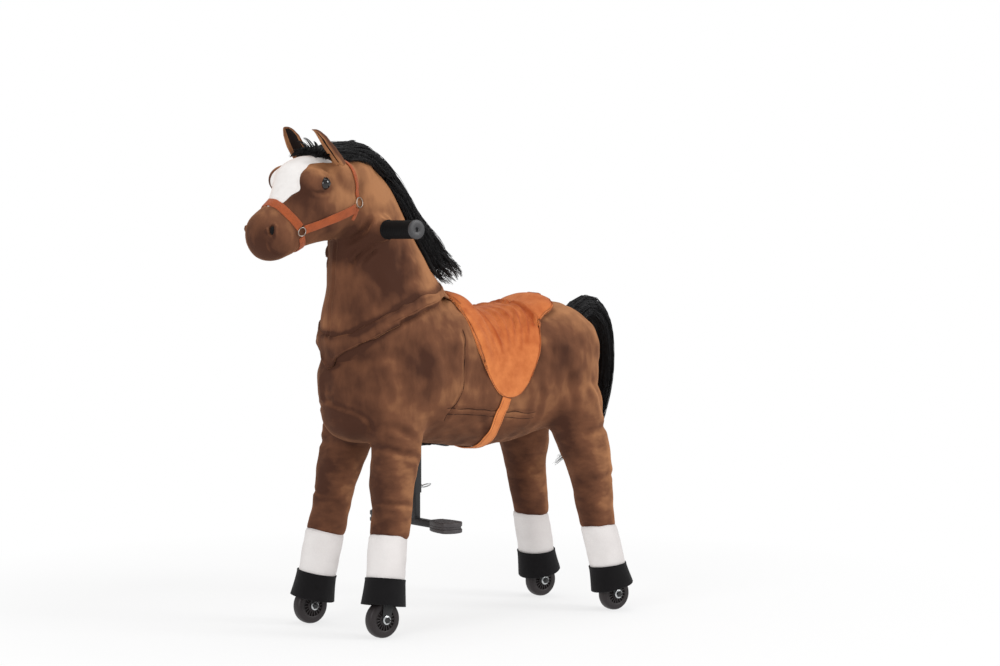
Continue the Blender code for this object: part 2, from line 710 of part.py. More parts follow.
def swing_space(name, front, side, half_width):
    """Prism below the round hip that the swinging leg needs: near and far limits in Y."""
    pivot = FRONT_PIVOT if front else REAR_PIVOT
    low_limits, high_limits = SWING_FRONT if front else SWING_REAR
    spans = []
    for limit in high_limits:
        reach = limit - pivot[0]
        lift = HIP_EDGE_DROP
        if abs(reach) < HIP_BALL_R:
            lift = max(lift, math.sqrt(HIP_BALL_R ** 2 - reach ** 2))
        spans.append((limit, math.degrees(math.asin(lift / HIP_BALL_R)), pivot[1] - lift))
    outline = arc(pivot, HIP_BALL_R, 180 + spans[0][1], 360 - spans[1][1], 8)
    outline += [(spans[1][0] + 0.0001, spans[1][2]), (low_limits[1], SWING_BOTTOM),
                (low_limits[0], SWING_BOTTOM), (spans[0][0] - 0.0001, spans[0][2])]
    ends = sorted((side * 0.0315, side * half_width))
    return plate(name, outline, *ends)


def tube_space(name, front, side):
    """Slot in the body in which the leg tube and the end of its shaft swing."""
    pivot = FRONT_PIVOT if front else REAR_PIVOT
    tops = 0.024
    fore, aft = (0.036, 0.026) if front else (0.020, 0.046)
    outline = [(pivot[0] - tops, pivot[1] + tops), (pivot[0] - tops, pivot[1] - 0.02),
               (pivot[0] - fore, pivot[1] - 0.12), (pivot[0] + aft, pivot[1] - 0.12),
               (pivot[0] + tops, pivot[1] - 0.02), (pivot[0] + tops, pivot[1] + tops)]
    far = 0.089 if front else 0.101
    ends = sorted((side * 0.046, side * far))
    return plate(name, outline, *ends)


torso = torso_skin("torso_plush", finish=BROWN_PLUSH)
cut(torso, neck_seat(0.0006),
    box("frame_space", (-0.050, -0.156, 0.348), (0.050, 0.252, 0.524)),
    box("arm_space", (-0.019, -0.217, 0.389), (0.019, -0.150, 0.484)),
    cylinder("post_opening", STEER_POINT - STEER_AXIS * 0.05, STEER_POINT + STEER_AXIS * 0.05,
             0.024, None, 16),
    box("post_space", (-0.0315, -0.080, 0.25), (0.0315, 0.026, 0.36)))
for front in (True, False):
    for side in (-1, 1):
        cut(torso, swing_space("swing_space", front, side, 0.2),
            tube_space("tube_space", front, side))

gaiter = box("belly_gaiter", (-0.0300, -0.0785, 0.3130), (0.0300, 0.0245, 0.3212), BLACK_PLUSH,
             0.003)
cut(gaiter, box("gaiter_hole", (-POST_HALF - GAP, POST_Y - POST_HALF - GAP, 0.29),
                (POST_HALF + GAP, POST_Y + POST_HALF + GAP, 0.33)))


# Legs: plush limb, white sock and black hoof cuff on each leg tube

# Stations down each leg: height, half width, half depth, shift to the rear, shift inwards
FRONT_LIMB = [
    (0.396, 0.046, 0.049, 0.012, 0.004),
    (0.350, 0.046, 0.048, 0.010, 0.004),
    (0.300, 0.042, 0.043, 0.006, 0.002),
    (0.248, 0.0365, 0.0370, 0.003, 0.0),
    (0.210, 0.0345, 0.0350, 0.004, 0.0),
]
REAR_LIMB = [
    (0.396, 0.048, 0.060, 0.004, 0.004),
    (0.345, 0.047, 0.053, 0.010, 0.004),
    (0.295, 0.0430, 0.0465, 0.012, 0.002),
    (0.250, 0.0370, 0.0390, 0.010, 0.0),
    (0.205, 0.0345, 0.0350, 0.004, 0.0),
]


def limb_ring(front, side, z, half_x, half_y, shift, inward=0.0, count=12):
    """An oval section square to the leg's line."""
    axis = leg_axis(front, side)
    across = (X_AXIS - axis * X_AXIS.dot(axis)).normalized()
    along = axis.cross(across)
    centre = leg_point(front, side, z) + along * shift - across * (side * inward)
    return oval(centre, across, along, half_x, half_y, count)


def limb(name, front, side):
    """Plush leg, wide at the hip and drawn in to the sock, over its tube."""
    rows = FRONT_LIMB if front else REAR_LIMB
    top = FRONT_SOCK_TOP if front else REAR_SOCK_TOP
    rows = rows + [(top + RUN, 0.0338 if front else 0.0325, 0.0340 if front else 0.0328, 0.002, 0.0)]
    rings = [limb_ring(front, side, *row) for row in smooth_rows(rows, 2)]
    made = add_object(name, rings_mesh(rings), BROWN_PLUSH, 60)
    pivot = FRONT_PIVOT if front else REAR_PIVOT
    axis = leg_axis(front, side)
    inner = sorted((0.0, side * 0.0335))
    cut(made,
        cross_bar("hip_ball", pivot, HIP_BALL_R + 0.0012, 0.0, side * 0.2, segments=32),
        box("inner_face", (inner[0], -0.5, 0.25), (inner[1], 0.5, 0.6)),
        cylinder("tube_bore", wheel_centre(front, side), hip(front, side) + axis * 0.05,
                 LEG_TUBE_R + GAP, None, 20))
    return made


def sock(name, front, side):
    """White sock panel, a stuffed sleeve over the tube."""
    high = FRONT_SOCK_TOP if front else REAR_SOCK_TOP
    low = FRONT_CUFF_TOP if front else REAR_CUFF_TOP
    size = 0.0338 if front else 0.0325
    rows = [(high - RUN, size - 0.0012, size - 0.0012, 0.002), (high - 0.004, size, size, 0.002),
            ((high + low) / 2, size + 0.0006, size + 0.0006, 0.001),
            (low + RUN, size - 0.0002, size - 0.0002, 0.0)]
    made = add_object(name, rings_mesh([limb_ring(front, side, *r) for r in rows]), WHITE_PLUSH, 60)
    axis = leg_axis(front, side)
    cut(made, cylinder("tube_bore", wheel_centre(front, side), hip(front, side) + axis * 0.05,
                       LEG_TUBE_R + GAP, None, 20))
    return made


def cuff(name, front, side):
    """Black hoof cuff: a flared open skirt that hides the fork, closed round the tube on top."""
    high = (FRONT_CUFF_TOP if front else REAR_CUFF_TOP) - RUN
    low = FRONT_CUFF_BOTTOM if front else REAR_CUFF_BOTTOM
    size = 0.0352 if front else 0.0345
    flare = 0.0400 if front else 0.0385
    wall = 0.0028
    rows = [(high, size - 0.002, size - 0.002, 0.0), (high - 0.003, size, size, 0.0),
            (high - 0.020, size + 0.0008, size + 0.0012, 0.0),
            (low + 0.002, flare - 0.002, flare, 0.0), (low, flare - 0.0025, flare - 0.0005, 0.0),
            (low, flare - 0.002 - wall, flare - wall, 0.0),
            (high - 0.018, size - wall, size - wall, 0.0),
            (high - 0.0045, size - wall - 0.002, size - wall - 0.002, 0.0)]
    made = add_object(name, rings_mesh([limb_ring(front, side, *r) for r in rows]), BLACK_PLUSH, 60)
    axis = leg_axis(front, side)
    cut(made, cylinder("tube_bore", wheel_centre(front, side), hip(front, side) + axis * 0.05,
                       LEG_TUBE_R + GAP, None, 20))
    return made


for end in ("front", "rear"):
    is_front = end == "front"
    leg_joint = front_joint if is_front else rear_joint
    for word, side in SIDES:
        hang(limb(f"{end}_{word}_leg_plush", is_front, side), leg_joint)
        hang(sock(f"{end}_{word}_sock", is_front, side), leg_joint)
        hang(cuff(f"{end}_{word}_hoof_cuff", is_front, side), leg_joint)


# Neck: rings square to its line, from the turning plane up to the poll

NECK_ROWS = [
    (-0.110, 0.5195, 0.126, 0.103, 20),
    (-0.118, 0.575, 0.121, 0.094, 16),
    (-0.131, 0.640, 0.096, 0.074, 12),
    (-0.149, 0.705, 0.077, 0.062, 18),
    (-0.168, 0.758, 0.066, 0.054, 30),
    (-0.192, 0.800, 0.050, 0.044, 45),
]


def neck_skin(name, grow=0.0, finish=None):
    """The neck's outer form, grown evenly by a thickness."""
    rings = []
    rows = smooth_rows(NECK_ROWS, 2)
    for i, (y, z, deep, half, tilt) in enumerate(rows):
        turn = math.radians(tilt)
        depth = Vector((0, math.cos(turn), math.sin(turn)))
        normal = Vector((0, -math.sin(turn), math.cos(turn)))
        centre = Vector((0, y, z))
        if i == 0:
            centre -= normal * grow
        if i == len(rows) - 1:
            centre += normal * grow
        rings.append(oval(centre, X_AXIS, depth, half + grow, deep + grow, 16, 2.1))
    return add_object(name, rings_mesh(rings), finish, 60)


neck = neck_skin("neck_plush", finish=BROWN_PLUSH)
cut(neck, cylinder("post_bore", STEER_POINT - STEER_AXIS * 0.05,
                   STEER_POINT + STEER_AXIS * 0.187, SHAFT_R + 0.0022, None, 20),
    cylinder("clamp_bore", STEER_POINT + STEER_AXIS * 0.17,
             STEER_POINT + STEER_AXIS * 0.2145, 0.0145 + GAP, None, 16))
for side in (-1, 1):
    cut(neck, cylinder("bar_bore", bar_point(0), bar_point(side * 0.2), BAR_R + GAP, None, 16))
hang(neck, neck_joint)


# Head: rings square to the line from the poll to the nose

HEAD_ROWS = [
    (-0.206, 0.792, 0.050, 0.034, 40),
    (-0.224, 0.786, 0.073, 0.050, 38),
    (-0.250, 0.779, 0.087, 0.059, 36),
    (-0.282, 0.768, 0.082, 0.060, 36),
    (-0.307, 0.749, 0.063, 0.050, 36),
    (-0.331, 0.733, 0.050, 0.042, 34),
    (-0.354, 0.720, 0.048, 0.044, 30),
    (-0.378, 0.710, 0.042, 0.040, 24),
    (-0.394, 0.705, 0.028, 0.027, 20),
    (-0.400, 0.703, 0.010, 0.010, 20),
]


def head_skin(name, grow=0.0, finish=None):
    """The head's outer form, grown evenly by a thickness."""
    rings = []
    rows = smooth_rows(HEAD_ROWS, 2)
    for i, (y, z, high, half, tilt) in enumerate(rows):
        turn = math.radians(tilt)
        up = Vector((0, -math.sin(turn), math.cos(turn)))
        forward = Vector((0, -math.cos(turn), -math.sin(turn)))
        centre = Vector((0, y, z))
        if i == 0:
            centre -= forward * grow
        if i == len(rows) - 1:
            centre += forward * grow
        rings.append(oval(centre, X_AXIS, up, half + grow, high + grow, 16, 2.1))
    return add_object(name, rings_mesh(rings), finish, 60)


head = head_skin("head_plush", finish=BROWN_PLUSH)
cut(head, neck_skin("neck_space", 0.0006))
hang(head, neck_joint)


def ear(name, side):
    """Leaf-shaped ear, cupped at the front, standing on the crown."""
    root = Vector((side * 0.047, -0.258, 0.836))
    tip = Vector((side * 0.042, -0.299, 0.900))
    along = (tip - root).normalized()
    across = Vector((side * 0.75, 0.45, 0.30))
    across = (across - along * across.dot(along)).normalized()
    face = along.cross(across) * side
    rings = []
    for t, half, thick in ((-0.20, 0.015, 0.008), (0.12, 0.020, 0.0075), (0.42, 0.0205, 0.006),
                           (0.72, 0.015, 0.0045), (0.93, 0.007, 0.003), (1.0, 0.0015, 0.0015)):
        centre = root.lerp(tip, t)
        ring = []
        for i in range(12):
            turn = 2 * math.pi * i / 12
            bend = (math.cos(turn) ** 2 - 0.4) * half * 0.5
            ring.append(centre + across * (half * math.cos(turn))
                        + face * (thick * math.sin(turn) + bend))
        rings.append(ring)
    made = add_object(name, rings_mesh(rings), BROWN_PLUSH, 60)
    cut(made, head_skin("head_space", 0.0006))
    hang(made, neck_joint)
    return made


ear("left_ear", 1)
ear("right_ear", -1)

for word, side in SIDES:
    bm = bmesh.new()
    bmesh.ops.create_uvsphere(bm, u_segments=12, v_segments=6, radius=0.0095)
    bmesh.ops.translate(bm, vec=(side * 0.0545, -0.2905, 0.8075), verts=bm.verts)
    eye = add_object(f"{word}_eye", bm, EYE_PLASTIC, 60)
    cut(eye, head_skin("head_space", 0.0006))
    hang(eye, neck_joint)


# Halter: webbing that lies on the head, a noseband, two cheek straps and a crown strap

def strap_prism(name, points, half):
    """A band seen from the side, right through the head along X."""
    turns = []
    for i, point in enumerate(points):
        before = Vector(points[max(i - 1, 0)])
        after = Vector(points[min(i + 1, len(points) - 1)])
        along = (after - before).normalized()
        turns.append((Vector(point), Vector((-along.y, along.x))))
    outline = [tuple(p + n * half) for p, n in turns] + [tuple(p - n * half) for p, n in reversed(turns)]
    return plate(name, outline, -0.12, 0.12)


halter = strap_prism("halter", [(-0.378, 0.800), (-0.345, 0.762), (-0.329, 0.728),
                                (-0.315, 0.690), (-0.305, 0.650)], 0.0085)
fuse(halter, strap_prism("cheek", [(-0.331, 0.7275), (-0.280, 0.746), (-0.232, 0.772)], 0.008),
     strap_prism("crown_strap", [(-0.229, 0.762), (-0.234, 0.800), (-0.241, 0.90)], 0.0065))
halter.data.materials.append(HALTER_STRAP)
boolean(halter, head_skin("halter_outer", 0.0026), "INTERSECT")
cut(halter, head_skin("halter_inner", 0.0005), neck_skin("halter_neck", 0.0006))
hang(halter, neck_joint)


# Mane: a fin of fur over the poll and down the crest, with a forelock between the ears

MANE_ROWS = [
    (-0.300, 0.858, 0.010, 0.009, 62),
    (-0.272, 0.862, 0.017, 0.014, 80),
    (-0.236, 0.856, 0.019, 0.018, 100),
    (-0.192, 0.840, 0.022, 0.027, 118),
    (-0.147, 0.812, 0.023, 0.031, 128),
    (-0.100, 0.770, 0.022, 0.035, 138),
    (-0.060, 0.717, 0.021, 0.035, 146),
    (-0.026, 0.662, 0.019, 0.032, 144),
    (0.006, 0.627, 0.014, 0.020, 130),
    (0.030, 0.612, 0.006, 0.008, 122),
]
mane_rings = []
for y, z, half, high, tilt in MANE_ROWS:
    turn = math.radians(tilt)
    out = Vector((0, -math.cos(turn), math.sin(turn)))
    mane_rings.append(oval(Vector((0, y, z)), X_AXIS, out, half, high, 10))
mane = add_object("mane", rings_mesh(mane_rings), BLACK_FUR, 60)
cut(mane, neck_skin("neck_space", 0.0008), head_skin("head_space", 0.0036))
hang(mane, neck_joint)


# Tail: a tapering brush of fur that arcs off the rump and hangs behind the legs

TAIL_ROWS = [
    (0.330, 0.552, 0.012, 0.012),
    (0.356, 0.553, 0.018, 0.016),
    (0.379, 0.527, 0.024, 0.018),
    (0.388, 0.480, 0.029, 0.020),
    (0.387, 0.420, 0.029, 0.020),
    (0.380, 0.360, 0.026, 0.018),
    (0.370, 0.305, 0.019, 0.014),
    (0.364, 0.265, 0.008, 0.007),
]


def tail_skin():
    rows = smooth_rows(TAIL_ROWS, 2)
    rings = []
    for i, (y, z, half, deep) in enumerate(rows):
        before, after = rows[max(i - 1, 0)], rows[min(i + 1, len(rows) - 1)]
        along = Vector((0, after[0] - before[0], after[1] - before[1])).normalized()
        rings.append(oval(Vector((0, y, z)), X_AXIS, along.cross(X_AXIS), half, deep, 12))
    return add_object("tail", rings_mesh(rings), BLACK_FUR, 60)


tail = tail_skin()
cut(tail, torso_skin("torso_space", 0.0008))


# Saddle cloth and girth: cloth lies on the body with a cantle roll and hanging folds

SADDLE_EDGE = [
    (0.000, 0.640), (0.000, 0.560), (0.016, 0.520), (0.038, 0.455),
    (0.056, 0.416), (0.070, 0.405), (0.086, 0.406), (0.108, 0.420), (0.136, 0.455),
    (0.157, 0.505), (0.172, 0.535), (0.205, 0.552), (0.236, 0.566), (0.246, 0.640),
]


def cloth_swell(point):
    """Extra thickness of the cloth: folds down the flap and a roll at the cantle."""
    side = min(abs(point.x) / 0.09, 1.0)
    folds = 0.0014 * side * math.sin((point.y - 0.35 * (0.56 - point.z)) * 2 * math.pi / 0.040)
    roll = 0.010 * math.exp(-(((point.y - 0.212) / 0.026) ** 2)) * max(0.0, 1 - side * 0.6)
    lift = max(0.0, (point.z - 0.50) / 0.06)
    return folds + roll * min(lift, 1.0)


saddle = plate("saddle_cloth", SADDLE_EDGE, -0.2, 0.2, ORANGE_CLOTH)
boolean(saddle, torso_skin("cloth_outer", 0.0062, swell=cloth_swell), "INTERSECT")
cut(saddle, torso_skin("cloth_inner", 0.0006), neck_seat(0.0))

GIRTH_LINE = [(0.079, 0.4015), (0.070, 0.375), (0.076, 0.345), (0.092, 0.322), (0.108, 0.290)]
girth = strap_prism("girth_strap", GIRTH_LINE, 0.0105)
girth.data.materials.append(ORANGE_CLOTH)
girth.data.transform(Matrix.Diagonal((2.0, 1, 1, 1)))
boolean(girth, torso_skin("girth_outer", 0.0030), "INTERSECT")
cut(girth, torso_skin("girth_inner", 0.0006))
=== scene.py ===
import math

import bpy
import numpy as np
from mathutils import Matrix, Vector, noise
from mathutils.bvhtree import BVHTree


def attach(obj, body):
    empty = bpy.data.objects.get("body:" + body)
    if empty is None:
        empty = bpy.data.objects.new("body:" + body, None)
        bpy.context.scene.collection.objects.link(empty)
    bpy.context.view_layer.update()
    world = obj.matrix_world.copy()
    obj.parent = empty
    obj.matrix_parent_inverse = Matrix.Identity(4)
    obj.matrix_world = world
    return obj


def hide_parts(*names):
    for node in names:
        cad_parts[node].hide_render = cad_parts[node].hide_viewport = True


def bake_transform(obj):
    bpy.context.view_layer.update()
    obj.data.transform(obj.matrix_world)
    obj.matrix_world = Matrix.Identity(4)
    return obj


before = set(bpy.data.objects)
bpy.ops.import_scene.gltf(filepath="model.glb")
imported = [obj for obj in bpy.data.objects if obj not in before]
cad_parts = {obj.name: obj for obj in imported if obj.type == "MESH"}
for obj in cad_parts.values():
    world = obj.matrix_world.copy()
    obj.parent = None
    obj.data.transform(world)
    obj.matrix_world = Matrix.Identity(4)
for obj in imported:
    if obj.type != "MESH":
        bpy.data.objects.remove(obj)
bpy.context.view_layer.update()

# ---- Steel frame ---------------------------------------------------------------------
# Flat plates, cross shafts, leg tubes and the bent handlebar: mild steel, cut, bent and
# welded, then powder coated black. The stuffing and the two grips cover all of it.


def colour(text):
    """Linear colour of an sRGB hex value."""
    parts = [int(text[i : i + 2], 16) / 255 for i in (1, 3, 5)]
    return [p / 12.92 if p <= 0.04045 else ((p + 0.055) / 1.055) ** 2.4 for p in parts] + [1.0]


def add(look, kind, settings=None, inputs=None):
    """Adds a shader node; an input takes a value, another node or one of its outputs."""
    node = look.node_tree.nodes.new("ShaderNode" + kind)
    for key, value in (settings or {}).items():
        setattr(node, key, value)
    for key, value in (inputs or {}).items():
        if isinstance(value, bpy.types.Node):
            value = value.outputs[0]
        if isinstance(value, bpy.types.NodeSocket):
            look.node_tree.links.new(value, node.inputs[key])
        else:
            node.inputs[key].default_value = value
    return node


def new_look(name):
    """An empty material."""
    look = bpy.data.materials.new(name)
    look.use_nodes = True
    look.node_tree.nodes.clear()
    return look


def hard_look(name, low, high, grain, roughness, relief=0.0002, metallic=0.0, specular=0.5):
    """Material of a hard piece: two tones and a fine relief that follow one grain size."""
    look = new_look(name)
    place = add(look, "TexCoord").outputs["Object"]
    fine = add(look, "TexNoise", inputs={"Vector": place, "Scale": 1 / grain, "Detail": 3.0})
    tone = add(look, "MixRGB", inputs={
        "Fac": fine, "Color1": colour(low), "Color2": colour(high),
    })
    bump = add(look, "Bump", inputs={"Height": fine, "Distance": relief})
    shader = add(look, "BsdfPrincipled", inputs={
        "Base Color": tone, "Roughness": roughness, "Metallic": metallic,
        "Specular IOR Level": specular, "Normal": bump,
    })
    add(look, "OutputMaterial", inputs={"Surface": shader})
    return look


def wear(look, *node_names):
    """Gives carried-over CAD nodes their material."""
    for name in node_names:
        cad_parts[name].data.materials.clear()
        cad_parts[name].data.materials.append(look)


# Powder coat: satin black with a faint orange peel about 1 mm across.
powder_coat = hard_look("black_powder_coat", "#0e0e10", "#18181a", 0.0011, 0.42)
wear(powder_coat, "left_side_plate", "right_side_plate", "post_guide", "steering_head")
wear(powder_coat, "neck_post", "handlebar", "front_cross_shaft", "rear_cross_shaft")
wear(powder_coat, "front_left_leg_tube", "front_right_leg_tube")
wear(powder_coat, "rear_left_leg_tube", "rear_right_leg_tube")

# ---- Linkage and seat board ----------------------------------------------------------
# Two drive links and the coupler rod are punched from zinc-plated strip and hang on pins.
# The seat board is 12 mm plywood, screwed to the side plates under the saddle.

# Zinc plate: pale grey metal whose fine spangle breaks up the reflections.
zinc = hard_look("zinc_plate", "#b4b7b8", "#d6d8d8", 0.0025, 0.32, 0.00005, 1.0)
wear(zinc, "left_drive_link", "right_drive_link", "coupler_rod")

# Birch plywood: pale veneers 1.5 mm thick, seen as stripes on the cut edges.
plywood = new_look("birch_plywood")
board_place = add(plywood, "TexCoord").outputs["Object"]
veneers = add(plywood, "TexWave", settings={"bands_direction": "Z"}, inputs={
    "Vector": board_place, "Scale": 105.0, "Distortion": 1.5, "Detail": 2.0,
})
veneer_tone = add(plywood, "MixRGB", inputs={
    "Fac": veneers.outputs["Fac"], "Color1": colour("#a9814f"), "Color2": colour("#dcc193"),
})
board_shader = add(plywood, "BsdfPrincipled", inputs={
    "Base Color": veneer_tone, "Roughness": 0.7,
})
add(plywood, "OutputMaterial", inputs={"Surface": board_shader})
wear(plywood, "seat_board")

# ---- Stirrup bar ---------------------------------------------------------------------
# A 16 mm square tube slides in the frame's guide and carries a narrower tube welded to a
# cross arm as a T. Both are drawn steel tube with rounded corners, powder coated black.

POST_Y = -0.042
POST_SIZE, POST_LEVELS = 0.016, (0.235, 0.492)
TEE_SIZE, STEM_LEVELS = 0.013, (0.1775, 0.290)
ARM_Z, ARM_REACH = 0.183, 0.084
TUBE_CORNER = 0.0022
X, Y, Z = np.eye(3)
SIDES = (("left", 1), ("right", -1))
PAINTED_SHEEN_WAY = np.array([0.0, 0.72, 0.69])  # painted sheen: skin facing this way, up and back, is painted lighter, skin facing away darker
# Painted patches: partly marks of crushed pile, partly painted light and shade, such as the
# darker hollow round the eye and the lighter top of the neck; later sections add painted shade in
# creases and seams
PAINTED_SHADING_AND_PILE_MARKS = [  # patches, mirrored: place on the left side, reach, how much lighter or darker
    ((0.072, -0.155, 0.665), 0.060, -0.52),
    ((0.080, -0.120, 0.610), 0.040, -0.20),
    ((0.060, -0.060, 0.655), 0.040, 0.34),
    ((0.048, -0.165, 0.785), 0.045, 0.40),
    ((0.020, -0.225, 0.640), 0.034, 0.30),
    ((0.020, -0.230, 0.560), 0.034, 0.26),
    ((0.045, -0.310, 0.772), 0.030, -0.36),
    ((0.055, -0.245, 0.785), 0.034, 0.36),
    ((0.050, -0.295, 0.828), 0.020, 0.30),
    ((0.054, -0.290, 0.806), 0.014, -0.85),
    ((0.034, -0.215, 0.712), 0.026, -0.45),
    ((0.020, -0.390, 0.712), 0.045, -0.05),
    ((0.113, -0.105, 0.490), 0.044, -0.36),
    ((0.105, -0.170, 0.430), 0.050, 0.14),
    ((0.030, -0.235, 0.430), 0.060, -0.05),
    ((0.113, -0.040, 0.440), 0.030, 0.20),
    ((0.112, 0.205, 0.480), 0.042, -0.50),
    ((0.110, 0.215, 0.395), 0.050, 0.24),
    ((0.060, 0.250, 0.560), 0.045, 0.04),
    ((0.105, 0.290, 0.260), 0.060, 0.22),
    ((0.114, 0.060, 0.370), 0.050, 0.20),
]


def skin(rings, loop=False):
    """Shell over a row of rings, its ends closed unless the row loops back on itself."""
    rings = np.asarray(rings, float)
    rows, count = rings.shape[:2]
    points = rings.reshape(-1, 3)
    faces = []
    for i in range(rows if loop else rows - 1):
        low, high = i * count, (i + 1) % rows * count
        for j in range(count):
            k = (j + 1) % count
            faces.append((low + j, low + k, high + k, high + j))
    if not loop:
        first, last = len(points), (rows - 1) * count
        points = np.vstack([points, rings[0].mean(0), rings[-1].mean(0)])
        for j in range(count):
            k = (j + 1) % count
            faces += [(first, k, j), (first + 1, last + j, last + k)]
    return points, faces


def piece(name, shells, look, body=None, sharp=None):
    """Object made of shells; sharp is the angle in degrees above which an edge stays sharp."""
    points, faces = [], []
    for shell_points, shell_faces in shells:
        start = sum(len(p) for p in points)
        points.append(np.asarray(shell_points, float))
        faces += [tuple(int(k) + start for k in face) for face in shell_faces]
    points = np.vstack(points)
    mesh = bpy.data.meshes.new(name)
    mesh.from_pydata(points.tolist(), [], faces)
    rest = mesh.attributes.new("rest_place", "FLOAT_VECTOR", "POINT")
    rest.data.foreach_set("vector", points.astype(np.float32).ravel())
    mesh.shade_smooth()
    facing = np.empty(len(points) * 3, np.float32)
    mesh.vertices.foreach_get("normal", facing)
    # Painted sheen and shade per point: lighter where the skin faces up and back, darker where it
    # faces forward and down, plus the listed painted patches
    nap_and_painted_shading = mesh.attributes.new("nap_and_painted_shading", "FLOAT", "POINT")
    painted_sheen_and_patches = 0.5 + 0.5 * (facing.reshape(-1, 3) @ PAINTED_SHEEN_WAY)
    for spot, reach, change in PAINTED_SHADING_AND_PILE_MARKS:
        far = np.linalg.norm(np.abs(points) * (1, 0, 0) + points * (0, 1, 1) - spot, axis=1)
        painted_sheen_and_patches += change * np.exp(-((far / reach) ** 2))
    nap_and_painted_shading.data.foreach_set("value", painted_sheen_and_patches.astype(np.float32))
    if sharp:
        mesh.set_sharp_from_angle(angle=math.radians(sharp))
    mesh.materials.append(look)
    made = bpy.data.objects.new(name, mesh)
    bpy.context.scene.collection.objects.link(made)
    if body:
        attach(made, body)
    return made


def unit(ways):
    """Directions brought to length one."""
    return ways / np.maximum(np.linalg.norm(ways, axis=-1, keepdims=True), 1e-12)


def slab(outline, low, high, round_off, axis="x"):
    """Flat part between two levels along x or z, its outline's two rims rounded off."""
    outline = np.asarray(outline, float)
    along = np.roll(outline, -1, 0) - np.roll(outline, 1, 0)
    inward = unit(np.column_stack([-along[:, 1], along[:, 0]]))
    if ((outline.mean(0) - outline) * inward).sum() < 0:
        inward = -inward
    turns = np.linspace(0, math.pi / 2, 4)
    steps = [(low + round_off * (1 - math.cos(t)), 1 - math.sin(t)) for t in turns]
    steps += [(high - round_off * (1 - math.cos(t)), 1 - math.sin(t)) for t in reversed(turns)]
    rings = []
    for level, inset in steps:
        flat = outline + inward * round_off * inset
        lift = np.full(len(flat), level)
        rings.append(np.column_stack((lift, *flat.T) if axis == "x" else (*flat.T, lift)))
    return skin(rings)


def rounded(half_a, half_b, corner, steps=5):
    """Outline of a rectangle with rounded corners."""
    spots = []
    for quarter, (sign_a, sign_b) in enumerate(((1, 1), (-1, 1), (-1, -1), (1, -1))):
        for i in range(steps):
            turn = (quarter + i / (steps - 1)) * math.pi / 2
            a = sign_a * (half_a - corner) + corner * math.cos(turn)
            spots.append((a, sign_b * (half_b - corner) + corner * math.sin(turn)))
    return np.array(spots)


post = rounded(POST_SIZE / 2, POST_SIZE / 2, TUBE_CORNER) + (0, POST_Y)
post_tube = slab(post, *POST_LEVELS, 0.0005, "z")
stirrup_post = piece("stirrup_post_tube", [post_tube], powder_coat, "stirrup", 30)
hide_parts("stirrup_post")
arm = rounded(TEE_SIZE / 2 + 0.0002, TEE_SIZE / 2, TUBE_CORNER) + (POST_Y, ARM_Z)
stem = rounded(TEE_SIZE / 2, TEE_SIZE / 2, TUBE_CORNER) + (0, POST_Y)
tee_tubes = [slab(arm, -ARM_REACH, ARM_REACH, 0.0006), slab(stem, *STEM_LEVELS, 0.0006, "z")]
tee = piece("stirrup_tee", tee_tubes, powder_coat, "stirrup", 30)
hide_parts("stirrup_tee_bar")

# ---- Pedals --------------------------------------------------------------------------
# Two foot pedals, moulded in dark grey plastic in two halves that meet at a groove round
# the edge. They widen outwards, end round, and have anti-slip ribs on top.

PEDAL_IN, PEDAL_OUT = 0.056, 0.119
PEDAL_BULB, PEDAL_HALF = 0.016, 0.0225
PEDAL_RIBS = 7

# Moulded polypropylene: dark warm grey, matt from a fine spark-eroded grain.
pedal_plastic = hard_look("pedal_plastic", "#332f30", "#423c3d", 0.0008, 0.5, 0.00012)


def arc(centre, radius_a, radius_b, start, end, count):
    """Points along part of an ellipse, angles in degrees."""
    turns = np.radians(np.linspace(start, end, count))
    return centre + np.column_stack([radius_a * np.cos(turns), radius_b * np.sin(turns)])


for word, side in SIDES:
    plan = arc((PEDAL_OUT - PEDAL_BULB, 0), PEDAL_BULB, PEDAL_HALF, -90, 90, 21)
    edge = [(0.086, 0.0215), (0.074, 0.0193), (0.064, 0.0160), (0.057, 0.0125)]
    edge += [(PEDAL_IN, 0.0105)]
    plan = np.vstack([plan, edge, [(a, -b) for a, b in reversed(edge)]])
    groove = plan * (0.985, 0.95)
    layers = [(plan, 0.1730, 0.1802), (groove, 0.1795, 0.1852), (plan, 0.1845, 0.1926)]
    shells = []
    for shape, low, high in layers:
        shells.append(slab(shape * (side, 1) + (0, POST_Y), low, high, 0.0016, "z"))
    for k in range(PEDAL_RIBS):
        across = PEDAL_IN + 0.009 + k * 0.0078
        reach = np.interp(across, [PEDAL_IN, 0.086, PEDAL_OUT], [0.0105, 0.0175, 0.0145])
        rib = rounded(0.0011, reach, 0.001, 4) + (side * across, POST_Y)
        shells.append(slab(rib, 0.1920, 0.1934, 0.0006, "z"))
    pedal = piece(f"{word}_foot_pedal", shells, pedal_plastic, "stirrup", 40)
    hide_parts(f"{word}_pedal")

# ---- Lock pin ------------------------------------------------------------------------
# A turned steel pin through the stirrup tubes locks their height. A loop of plated wire
# through its head is pulled with a finger to take it out.

LOCK_Z = 0.2455
PIN_TIP_Y = -0.0535
LOOP_R = 0.0095
LOOP_Y = POST_Y + 0.022


def sweep(path, outline, outward, loop=False):
    """Rings of an outline carried along a path; its second number points outwards."""
    path = np.asarray(path, float)
    along = np.roll(path, -1, 0) - np.roll(path, 1, 0) if loop else np.gradient(path, axis=0)
    along = unit(along)
    outward = np.broadcast_to(np.asarray(outward, float), path.shape)
    outward = unit(outward - (outward * along).sum(1)[:, None] * along)
    sideways = np.cross(along, outward)
    return path[:, None] + sideways[:, None] * outline[:, :1] + outward[:, None] * outline[:, 1:]


